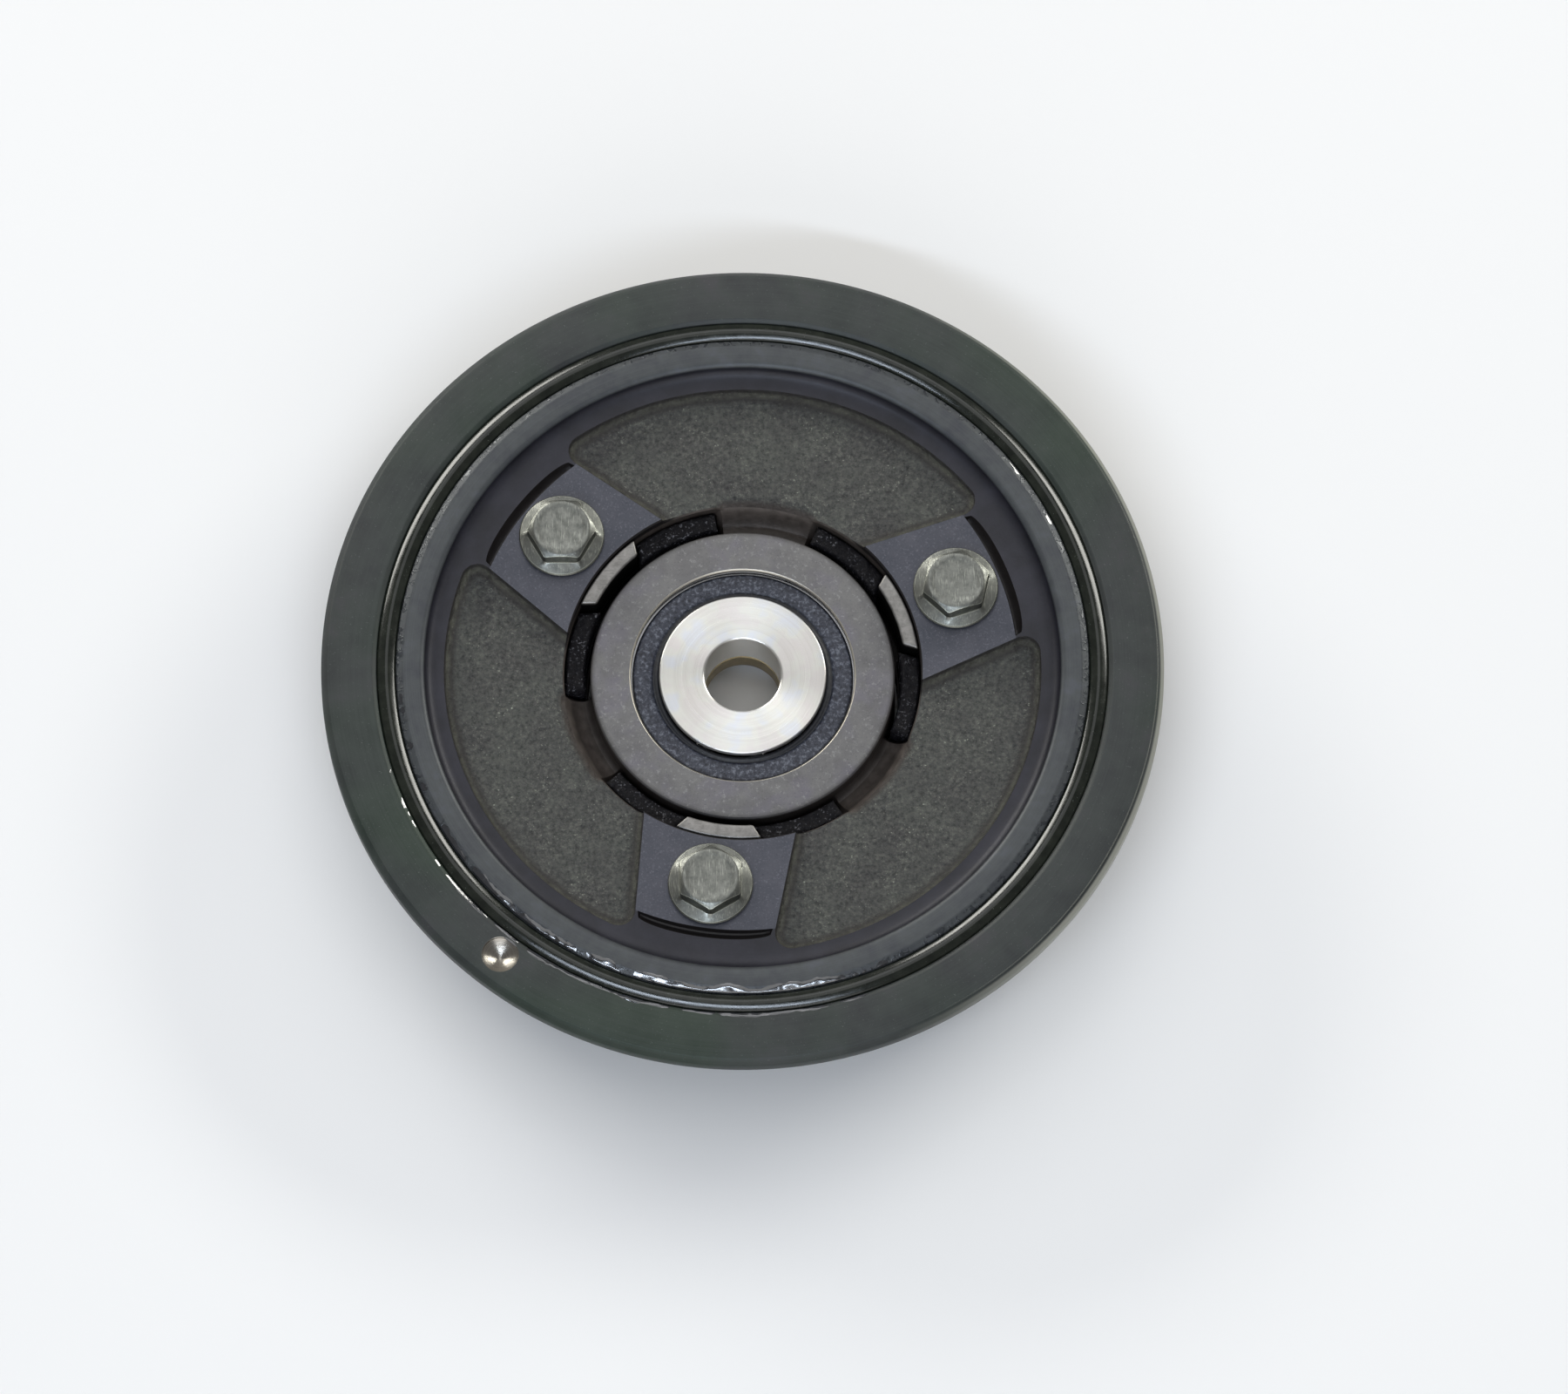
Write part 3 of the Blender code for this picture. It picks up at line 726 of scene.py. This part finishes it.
def fill_land(shell, outline):
    """Fills the flat land around the pads and pockets, and sinks the channels."""
    work = bmesh.new()
    loops = [outline, [polar(LAND_OUT, 360 * i / 360, WEB_TOP) for i in range(360)]]
    for lug in LUG_ANGLES:
        rows = channel_outline(lug)
        inside = [polar(PAD_OUT, degrees, WEB_TOP) for degrees, width, depth in rows]
        outside = [polar(PAD_OUT + width, degrees, WEB_TOP) for degrees, width, depth in rows]
        loops.append(inside + list(reversed(outside)))
        sunk = []
        for share, down in CHANNEL_PROFILE:
            sunk.append([polar(PAD_OUT + wide * share, a, WEB_TOP - deep * down) for a, wide, deep in rows])
        shell.grid(sunk, ARM)
    for loop in loops:
        found = []
        for p in loop:
            if not found or (Vector(p) - found[-1].co).length > 1e-4:
                found.append(work.verts.new(p))
        for a, b in zip(found, found[1:] + found[:1]):
            work.edges.new((a, b))
    bmesh.ops.triangle_fill(work, use_beauty=True, edges=work.edges)
    work.verts.index_update()
    rows = shell.row([tuple(v.co) for v in work.verts])
    for face in work.faces:
        shell.face([rows[v.index] for v in face.verts], LAND)
    work.free()


def build_arm(shell, middle):
    """A smooth arm from the pocket's floor over a rounded edge and a cove to the boss."""
    top = [
        (38.4, 20.7), (37.9, 21.1), (37.55, 21.12), (37.2, 20.75), (36.8, 20.15), (36.3, 19.35),
        (35.7, 18.5), (35, 17.8), (34.2, 17.3), (33.3, 17.05), (32.6, 17.3), (32, 17.9), (31.5, 18.8),
    ]
    bottom = [(31.5, 10.3), (36, 10.3), (38.4, 11)]
    columns, edge_drop = 40, 1.8
    rows = []
    for index, (radius, height) in enumerate(top + bottom):
        spread = ARM_HALF + smooth(36.5, 38.4, radius)
        line = []
        for i in range(columns + 1):
            t = -1 + 2 * i / columns
            if index < len(top):
                lowered = height - edge_drop * smooth(0.90, 1, abs(t))
                line.append(rough(polar(radius, middle + spread * t, lowered), ARM_ROUGH))
            else:
                line.append(polar(radius, middle + spread * t, height))
        rows.append(shell.row(line))
    for low, high in zip(rows, rows[1:] + rows[:1]):
        shell.strip(low, high, False, ARM)
    shell.face([row[0] for row in rows], ARM)
    shell.face([row[-1] for row in rows], ARM)


def build_casting():
    shell = Shell()
    rim_steps, boss_steps = 360, 256
    roof, back_top = CHAMBER_TOP, 6.0
    hollow = [
        (LAND_OUT, WEB_TOP), (63.5, 25.04), (64.1, 25.14), (64.7, 25.3), (65.2, 25.5), (65.6, 25.75),
        (65.95, 26.06), (66.2, 26.4), (66.38, 26.8), (66.45, 27.1),
    ]
    front = [
        hollow[-1], (66.5, 27.33), (66.62, 27.52), (66.84, 27.68), (67.12, 27.83), (67.4, 27.94),
        (67.7, RIM_TOP),
    ]
    front += [(RIM_OUT - inside, RIM_TOP - drop) for inside, drop in RIM_EDGE]
    front += [(RIM_OUT, 7.5), (RIM_OUT - 0.5, 7), (63, 7), (62.4, 7.6)]
    back = [
        front[-1], (62.4, 14), (61.8, 15.4), (60.4, roof), (48, roof), (46.6, 15.4), (46, 14),
        (46, back_top + 0.3), (45.7, back_top), (42.5, back_top), (42.2, back_top + 0.3), (42.2, roof),
        (WEB_BORE, roof),
    ]
    for profile, kind in ((hollow, LAND), (front, RIM), (back, ARM)):
        shell.lathe(profile, rim_steps, kind, False)
    build_web(shell)
    for lug in LUG_ANGLES:
        outline = []
        for radius, half, flip in ((43.6, 10.5, 1), (56.3, 8.5, -1)):
            outline += [polar(radius, lug + flip * half * (-1 + 2 * i / 12)) for i in range(13)]
        shell.prism(outline, back_top, roof + 0.6, ARM)
    for middle in ARM_ANGLES:
        build_arm(shell, middle)
    lip, seat, groove = 23.3, 26.2, 1.3
    seat_top, groove_low, groove_top, foot = 20.9, 3.2, 5.5, 1.5
    chamfer = [(lip, seat_top), (lip, 21.62), (lip + 0.04, 21.7), (lip + 0.26, 21.94), (lip + 0.36, BOSS_TOP)]
    face = [chamfer[-1], (23.9, BOSS_TOP)]
    face += near(BOSS_OUT, BOSS_TOP, (-0.75, 0), (-0.35, -0.08), (-0.08, -0.35), (0, -0.75))
    side = [
        face[-1], (BOSS_OUT, foot + 0.5), (BOSS_OUT - 0.5, foot), (seat + 0.5, foot), (seat, foot + 0.5),
        (seat, groove_low), (seat + groove, groove_low), (seat + groove, groove_top), (seat, groove_top),
        (seat, seat_top), (lip, seat_top),
    ]
    for profile, kind in ((chamfer, LIP), (face, BOSS), (side, ARM)):
        shell.lathe(profile, boss_steps, kind, False)
    looks = [land_look(), rough_cast_look(), rim_face_look(), arm_look(), boss_look(), lip_look()]
    made = shell.object("casting", looks)
    return placed(made, "flywheel", "cast_iron", "flywheel_casting")


# ---------------- rings

def build_inertia_ring(finish, bright):
    back = RING_TOP - 4.0
    profile = [(RING_IN, 8.5), (RING_IN + 0.5, 8)]
    profile += near(RING_SEAT, 8, (-0.8, 0), (-0.2, 0.2), (0, 0.8))
    profile += near(RING_SEAT, back, (0, -1), (0.3, -0.3), (1, 0))
    profile += near(RING_OUT, back, (-0.5, 0), (-0.12, 0.12), (0, 0.5))
    profile += near(RING_OUT, RING_TOP, (0, -1.35), (-0.06, -1.22), (-1.22, -0.06), (-1.35, 0))
    profile += [(RING_IN + inside, RING_TOP - drop) for inside, drop in RING_EDGE]
    shell = Shell()
    shell.lathe(profile, 360)
    ring = shell.object("inertia_ring_body", [finish])
    cone = ((0.02, -2.35), (0.5, -2.2), (3.55, -0.62), (3.7, -0.45), (3.75, -0.1), (4.1, 0.2), (4.1, 1))
    drill = Shell()
    drill.plug(near(0, RING_TOP, *cone), 64, polar(BALANCE_CIRCLE, BALANCE_ANGLE))
    cutter = drill.object("drill", [bright])
    ring.data.materials.append(bright)
    cut(ring, cutter)
    return placed(ring, "damper", "phosphated_iron", "inertia_ring")


def build_damper_rubber(finish):
    """The rubber between the two metals, with a bevelled crest that isn't quite even."""
    inner, outer = RIM_OUT + 0.02, RING_IN - 0.02
    middle, half = (inner + outer) / 2, (outer - inner) / 2
    crest, shoulder, root = RING_TOP + 0.45, RING_TOP - 0.95, 24.0
    bevel = [
        (0, 0), (0.2, 0.01), (0.4, 0.06), (0.6, 0.14), (0.8, 0.235), (1.05, 0.36), (1.3, 0.495),
        (1.5, 0.61), (1.66, 0.715), (1.78, 0.83), (1.86, 0.96), (half - 0.02, 1.15),
    ]
    last = 2 * len(bevel)
    top = [(outer, root), (outer, shoulder)]
    top += [(middle + d, crest - drop) for d, drop in reversed(bevel)]
    top += [(middle - d, crest - drop) for d, drop in bevel[1:]]
    top += [(inner, shoulder), (inner, root)]
    bottom = [
        (inner, 12), (inner + 0.1, 10), (inner + 0.8, 9.2), (middle, 9), (outer - 0.8, 9.2),
        (outer - 0.1, 10), (outer, 12),
    ]

    def wobble(degrees, index):
        if not 2 <= index <= last:
            return (0, 0)
        lift = 0.05 * ring_noise(degrees, 18, index * 0.02) + 0.004 * ring_noise(degrees, 120, index * 0.05)
        return (0, lift)

    shell = Shell()
    shell.lathe(top + bottom, 540, 0, True, wobble)
    return placed(shell.object("damper_bead", [finish], 60), "damper", "damper_rubber", "damper_rubber")


def build_agent(name, finish, body, edge, side, wide, base, profile, busy, seed):
    """Bonding agent on a worn edge: a thin uneven skin that shows where it stands above the metal."""
    steps, columns = 1440, 12
    start_inside, tallest, sunk = 0.1, 0.26, 0.03
    shell = Shell()
    rows = []
    for k in range(columns + 1):
        reach = k / columns
        inside = start_inside + (wide - start_inside) * (1 - reach)
        line = []
        for i in range(steps):
            degrees = 360 * i / steps
            amount = 0.0
            for middle, half, weight in busy:
                away = abs((degrees - middle + 180) % 360 - 180)
                amount = max(amount, weight * (1 - smooth(half * 0.5, half, away)))
            start = 0.25 + 0.45 * ring_noise(degrees, 70, seed) + 0.12 * ring_noise(degrees, 330, seed + 3)
            rise = smooth(start, start + 0.45, reach)
            lump = 0.55 + 1.1 * ring_noise(degrees, 110, seed + 7 + 0.4 * reach)
            lump += 0.5 * ring_noise(degrees, 330, seed + 11 + 1.2 * reach)
            height = amount * rise * max(0, lump) * tallest - sunk
            line.append(polar(edge + side * inside, degrees, base - corner_drop(inside, profile) + height))
        rows.append(shell.row(line))
    skirts = [[shell.points[i] for i in row] for row in (rows[0], rows[-1])]
    low_in, low_out = (shell.row([(x, y, z - 0.3) for x, y, z in points]) for points in skirts)
    chain = [low_in] + rows + [low_out]
    for low, high in zip(chain, chain[1:] + chain[:1]):
        shell.strip(low, high) if side < 0 else shell.strip(high, low)
    return placed(shell.object(name, [finish], 80), body, "damper_rubber")


def build_rear_cover(finish):
    inner, outer, front = 36.6, 57, 5.7
    shell = Shell()
    shell.lathe([
        (inner, 0.5), (37, 0.06), (37.1, 0), (56.1, 0), (56.9, 0.3), (outer, 0.8), (outer, front),
        (inner, front),
    ], 256)
    cover = shell.object("rear_cover_plate", [finish])
    for lug in LUG_ANGLES:
        hole = Shell()
        hole.plug([(4.95, -1), (4.95, 0), (4.3, 0.65), (4.3, 7)], 48, polar(BOLT_CIRCLE, lug))
        cut(cover, hole.object("hole", [finish]))
    return placed(cover, "flywheel", "phosphated_iron", "rear_cover")


# ---------------- bolts

def build_bolt(index, finish):
    """A hexagon flange bolt: conical flange, chamfered and dished head, and a threaded shank."""
    seat = WEB_TOP + 0.3
    top = seat + 5.5
    apothem, crown = 6.3, 5.95
    crest, root, pitch, thread_top = 3.95, 3.62, 1.25, 20.0
    columns = 144

    def hexagon(degrees):
        away = abs((degrees % 60) - 30)
        corner = apothem / math.cos(math.radians(30)) - 0.12
        return min(apothem / math.cos(math.radians(away)), corner)

    profile = [(0.02, 0.3), (3.3, 0.3), (3.8, 0.8)]
    z = 1.2
    while z < thread_top:
        profile += [(crest, z), (root, z + 0.6)]
        z += pitch
    profile += [(crest, 20.6), (crest, seat + 0.05)]
    flange = ((8.5, 0), (8.8, 0.12), (8.9, 0.4), (8.88, 0.72), (8.68, 0.98), (8.3, 1.12))
    profile += near(0, seat, *flange)
    skirt, wall, brim, lip = [], [], [], []
    for i in range(columns):
        reach = hexagon(360 * i / columns)
        skirt.append((reach + 0.14, seat + 1.72))
        wall.append((reach, seat + 1.92))
        brim.append((reach, top - max(0, reach - crown) * 0.62 - 0.12))
        lip.append((min(reach - 0.12, crown + 0.1), top - 0.03 - max(0, min(reach, crown + 0.1) - crown)))
    dish = near(crown, top, (-0.25, 0), (-0.75, -0.02), (-1.25, -0.18), (-1.6, -0.24))
    dish += near(0, top, (3, -0.26), (1.5, -0.26), (0.02, -0.26))
    rows = [[place] * columns for place in profile] + [skirt, wall, brim, lip]
    rows += [[place] * columns for place in dish]
    shell = Shell()
    made = []
    for row in rows:
        made.append(shell.row([polar(r, 360 * i / columns, z) for i, (r, z) in enumerate(row)]))
    for low, high in zip(made, made[1:]):
        shell.strip(low, high)
    shell.face(list(reversed(made[0])))
    shell.face(made[-1])
    x, y = polar(BOLT_CIRCLE, LUG_ANGLES[index])
    turned = []
    for px, py, pz in shell.points:
        wear = 0.03 * noise_at((px, py, pz), 1.6, 3.0 + index)
        qx, qy, qz = rotated((px, py), BOLT_TURNS[index], pz + wear * smooth(seat + 0.3, seat + 1, pz))
        turned.append((qx + x, qy + y, min(qz, top)))
    shell.points = turned
    made = shell.object(f"bolt_{index + 1}", [finish], 28, 0.001)
    return placed(made, "flywheel", "zinc_plate", f"flange_bolt_{index + 1}")


# ---------------- drive ring and rubber blocks

def lug_half(radius):
    return 11.7 + 0.8 * (radius - 34)


def add_lug(shell, lug, radii, spread, low, high, columns):
    """A closed block between two radii, wider than lug_half by spread on each side."""
    rows = []
    for radius in radii:
        start, end = lug - lug_half(radius) - spread, lug + lug_half(radius) + spread
        for height in (low, high):
            line = [polar(radius, start + (end - start) * i / columns, height) for i in range(columns + 1)]
            rows.append(shell.row(line))
    inner_low, inner_high, outer_low, outer_high = rows
    around = (inner_low, inner_high, outer_high, outer_low)
    for first, second in zip(around, around[1:] + around[:1]):
        shell.strip(first, second, False)
    shell.face([inner_low[0], outer_low[0], outer_high[0], inner_high[0]])
    shell.face([inner_low[-1], inner_high[-1], outer_high[-1], outer_low[-1]])


def build_drive_ring(finish):
    inner, sleeve, outer = 32.4, 36, 41.6
    plate_low, plate_top, back = 6.1, 9.6, 0.5
    shell = Shell()
    shell.lathe([
        (inner, back + 0.3), (inner + 0.3, back), (sleeve - 0.3, back), (sleeve, back + 0.3),
        (sleeve, plate_low), (outer, plate_low), (outer, plate_top), (inner, plate_top),
    ], 240)
    ring = shell.object("drive_ring_plate", [finish])
    for arm in ARM_ANGLES:
        slot = Shell()
        slot.prism([rotated(p, arm, 0)[:2] for p in ((30, -4), (38, -4), (38, 4), (30, 4))], -1, 4)
        cut(ring, slot.object("slot", [finish]))
    placed(ring, "drive", "bare_steel", "drive_ring")
    for index, lug in enumerate(LUG_ANGLES):
        body = Shell()
        add_lug(body, lug, (33.8, 41.4), 0.4, 9, 15.6, 16)
        add_lug(body, lug, (34, 37), 0, 9, LUG_TOP, 24)
        made = body.object(f"drive_lug_{index + 1}", [finish])
        corner = math.radians(40)
        applied(made, "BEVEL", width=0.42 * MM, segments=3, limit_method="ANGLE", angle_limit=corner)
        made.data.set_sharp_from_angle(angle=corner)
        placed(made, "drive", "bare_steel")


def build_block(index, finish):
    """A rough rubber block between an arm and a lug, narrower above."""
    lug = LUG_ANGLES[index // 2]
    side = 1 if index % 2 else -1
    gap, last = 0.95, 42.95
    columns, rows = 44, 10
    shell = Shell()
    for near, far, inset, low, high in ((32.7, 41.7, 0, 9.9, 15.7), (33, 37, 0.15, 14, 21)):
        layers = []
        for k in range(rows + 1):
            radius = near + (far - near) * k / rows
            first = lug_half(radius) + gap + inset
            start, end = sorted((lug + side * first, lug + side * (last - inset)))
            line = []
            for i in range(columns + 1):
                x, y = polar(radius, start + (end - start) * i / columns)
                border = min(i, columns - i, k * 2, (rows - k) * 2)
                worn = 0.30 * noise_at((x, y, 0), 1.1, 2.0 + index) + 0.20 * noise_at((x, y, 0), 0.5, 5)
                drop = (0.55, 0.18, 0.05)[border] if border < 3 else 0.0
                line.append((x, y, high - 0.25 + worn * (0.5 if border < 2 else 1) - drop))
            layers.append(line)
        top = shell.grid(layers)
        base = shell.grid([[(x, y, low) for x, y, z in line] for line in layers])
        for above, below in ((top[0], base[0]), (top[-1], base[-1])):
            shell.strip(above, below, False)
        for end in (0, -1):
            shell.strip([row[end] for row in top], [row[end] for row in base], False)
    made = shell.object(f"rubber_pad_{index + 1}", [finish], 50)
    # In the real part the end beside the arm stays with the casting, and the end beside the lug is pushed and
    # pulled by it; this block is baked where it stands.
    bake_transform(made)
    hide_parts(f"rubber_block_{index + 1}")


# ---------------- bearing and bushes

def turned_piece(name, profile, segments, finish, body, slot, node, sharp=32):
    shell = Shell()
    shell.lathe(profile, segments)
    return placed(shell.object(name, [finish], sharp), body, slot, node)


def build_bearing(steel, seal_finish, cage_finish):
    low, high = BEARING_BACK, BEARING_TOP
    middle = (BALL_CIRCLE, BEARING_MID)
    turn = math.degrees(math.acos(2.7 / GROOVE))
    outer = [
        (25.5, low), (25.85, low + 0.15), (26, low + 0.5), (26, high - 0.5), (25.85, high - 0.15),
        (25.5, high), (23.5, high), (23.4, high - 0.1), (23.4, high - 1.6), (22.2, high - 1.6),
        *arc(middle, GROOVE, turn, -turn, 12),
        (22.2, low + 1.6), (23.4, low + 1.6), (23.4, low + 0.1), (23.5, low),
    ]
    turned_piece("outer_race", outer, 192, steel, "flywheel", "bearing_steel", "bearing_outer_race")
    turn = math.degrees(math.acos(2.5 / GROOVE))
    inner = [
        (12.5, low + 0.5), (12.65, low + 0.15), (13, low), (16.9, low), (17, low + 0.1),
        *arc(middle, GROOVE, 180 + turn, 180 - turn, 12),
        (17, high - 0.1), (16.9, high), (13, high), (12.65, high - 0.15), (12.5, high - 0.5),
    ]
    turned_piece("inner_race", inner, 128, steel, "sleeve", "bearing_steel", "bearing_inner_race")
    front = [
        (17.36, 19.32), (23.1, 19.32), (23.1, 19.72), (22.93, 19.8), (22.8, 20.05), (22.6, 20.2),
        (22.4, 20.24), (19.3, 20.24), (19.05, 20.12), (18.85, 19.86), (18.6, 19.78), (18.35, 19.9),
        (18.2, 20.08), (17.95, 20.12), (17.7, 20.08), (17.45, 19.9),
    ]
    rear = [(radius, 2 * BEARING_MID - z) for radius, z in front]
    for side, profile in (("front", front), ("rear", rear)):
        name = f"{side}_seal_disc"
        turned_piece(name, profile, 192, seal_finish, "flywheel", "seal_rubber", f"{side}_seal", 50)
    turns = [math.pi * k / 24 for k in range(1, 24)]
    for ball in range(9):
        shell = Shell()
        profile = [(BALL * math.sin(a), -BALL * math.cos(a)) for a in turns]
        shell.plug(profile, 40, (*polar(BALL_CIRCLE, 40 * ball), BEARING_MID))
        placed(shell.object(f"ball_{ball + 1}", [steel]), "cage", "bearing_steel", f"bearing_ball_{ball + 1}")
    refinish("bearing_cage", cage_finish)


def build_bushes(turned, tan):
    body, collar, seat, top = 12.2, 17.45, 20.9, 22.3
    front = [(BUSH_BORE, 11.5), (body, 11.5), (body, seat), (collar - 0.25, seat), (collar, seat + 0.2)]
    front += near(collar, top, (0, -0.32), (-0.07, -0.12), (-0.25, 0))
    front += near(BUSH_BORE, top, (0.55, 0), (0.25, -0.06), (0.06, -0.22), (0, -0.45))
    turned_piece("front_sleeve", front, 256, turned, "sleeve", "turned_steel", "front_bush")
    rear = [
        (7.9, 6.3), (7.98, 6.1), (8.2, 5.9), (12, 5.9), (body, 6.1), (body, 11.2), (8.1, 11.2), (7.9, 11),
    ]
    turned_piece("rear_sleeve", rear, 192, tan, "sleeve", "bronze", "rear_bush")


# ---------------- light, floor and camera

def aimed(name, data, target, direction, distance):
    """Puts a lamp or camera this far from its target, looking at it."""
    made = bpy.data.objects.new(name, data)
    made.location = target + direction * distance
    made.rotation_mode = "QUATERNION"
    made.rotation_quaternion = direction.to_track_quat("Z", "Y")
    bpy.context.scene.collection.objects.link(made)
    return made


def area_light(name, azimuth, elevation, distance, wide, tall, radiance, colour):
    """A lamp aimed at the wheel. Its half width and half height are in degrees."""
    lamp = bpy.data.lights.new(name, "AREA")
    lamp.shape = "ELLIPSE"
    across, up = (distance * math.tan(math.radians(half)) for half in (wide, tall))
    lamp.size = 2 * across
    lamp.size_y = 2 * up
    lamp.energy = radiance * math.pi * math.pi * across * up
    lamp.color = colour
    a, e = math.radians(azimuth), math.radians(elevation)
    direction = Vector((math.cos(a) * math.cos(e), math.sin(a) * math.cos(e), math.sin(e)))
    aimed(name, lamp, Vector((0, 0, 0.02)), direction, distance)


def build_studio():
    size, tiles = 3000, 8
    line = [-size + 2 * size * i / tiles for i in range(tiles + 1)]
    shell = Shell()
    shell.grid([[(x, y, 0) for x in line] for y in line])
    shell.object("floor", [floor_look()])
    world = bpy.data.worlds.new("studio")
    world.use_nodes = True
    sky = world.node_tree.nodes["Background"]
    sky.inputs[0].default_value = (1, 0.99, 0.98, 1)
    sky.inputs[1].default_value = 0.22
    bpy.context.scene.world = world
    area_light("softbox", 90, 84, 2.5, 27, 27, 0.88, (0.98, 0.99, 1))
    area_light("front_fill", 270, 26, 2.5, 26, 20, 1.4, (0.99, 0.99, 1))
    area_light("back_panel", 95, 46, 2.2, 24, 17, 1.3, (0.97, 0.98, 1))
    area_light("right_window", 40, 25, 2, 18, 5.5, 11.5, (1, 0.99, 0.93))
    area_light("left_window", 129, 21, 2, 20, 5.5, 12, (1, 0.98, 0.92))
    area_light("front_glint", 256, 54, 2, 25, 1.9, 20, (0.76, 0.86, 1))


def build_camera():
    """A long lens above the front face, from 70.3 degrees of elevation."""
    elevation = math.radians(70.3)
    distance, across, right, down = 10, 0.3273, 0.00864, 0.0064
    back = Vector((0, -math.cos(elevation), math.sin(elevation)))
    up = Vector((0, math.sin(elevation), math.cos(elevation)))
    target = Vector((0, 0, RING_TOP * MM)) + Vector((right, 0, 0)) - up * down
    data = bpy.data.cameras.new("camera")
    data.sensor_width = 36.0
    data.lens = data.sensor_width * distance / across
    bpy.context.scene.camera = aimed("camera", data, target, back, distance)


def refinish(node, finish):
    """Gives a CAD node a better material."""
    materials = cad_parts[node].data.materials
    materials.clear()
    materials.append(finish)


def main():
    phosphate = phosphate_look()
    build_casting()
    build_inertia_ring(phosphate, drill_look(*polar(BALANCE_CIRCLE, BALANCE_ANGLE)))
    build_damper_rubber(bead_look())
    agent = agent_look()
    # Where the agent has squeezed out: the middle and half width of each stretch in degrees, and how much.
    rim_side = ((252, 50, 1), (45, 40, 0.12), (200, 30, 0.15))
    ring_side = ((255, 40, 1), (30, 40, 0.08), (200, 30, 0.15))
    build_agent("agent_on_rim", agent, "flywheel", RIM_OUT, -1, 2.3, RIM_TOP, RIM_EDGE, rim_side, 1)
    build_agent("agent_on_ring", agent, "damper", RING_IN, 1, 1.5, RING_TOP, RING_EDGE, ring_side, 5)
    build_rear_cover(phosphate)
    zinc = zinc_look()
    for index in range(3):
        build_bolt(index, zinc)
    build_drive_ring(lug_look())
    rubber = block_look()
    for index in range(6):
        build_block(index, rubber)
    steel = plain_metal("bearing_steel", (0.50, 0.50, 0.51), (0.62, 0.62, 0.63), 0.16)
    nylon = plain_metal("cage_nylon", (0.40, 0.31, 0.17), (0.50, 0.40, 0.24), 0.45, 0)
    bronze = plain_metal("bronze", (0.26, 0.21, 0.12), (0.40, 0.33, 0.21), 0.36, 0.85, 0.2)
    spring = plain_metal("spring_steel", (0.035, 0.035, 0.040), (0.070, 0.070, 0.078), 0.34, 0.8)
    build_bearing(steel, seal_look(), nylon)
    build_bushes(turned_look(), bronze)
    refinish("snap_ring", spring)
    build_studio()
    build_camera()
    bpy.context.scene.view_settings.view_transform = "Standard"
    bpy.context.view_layer.update()


main()
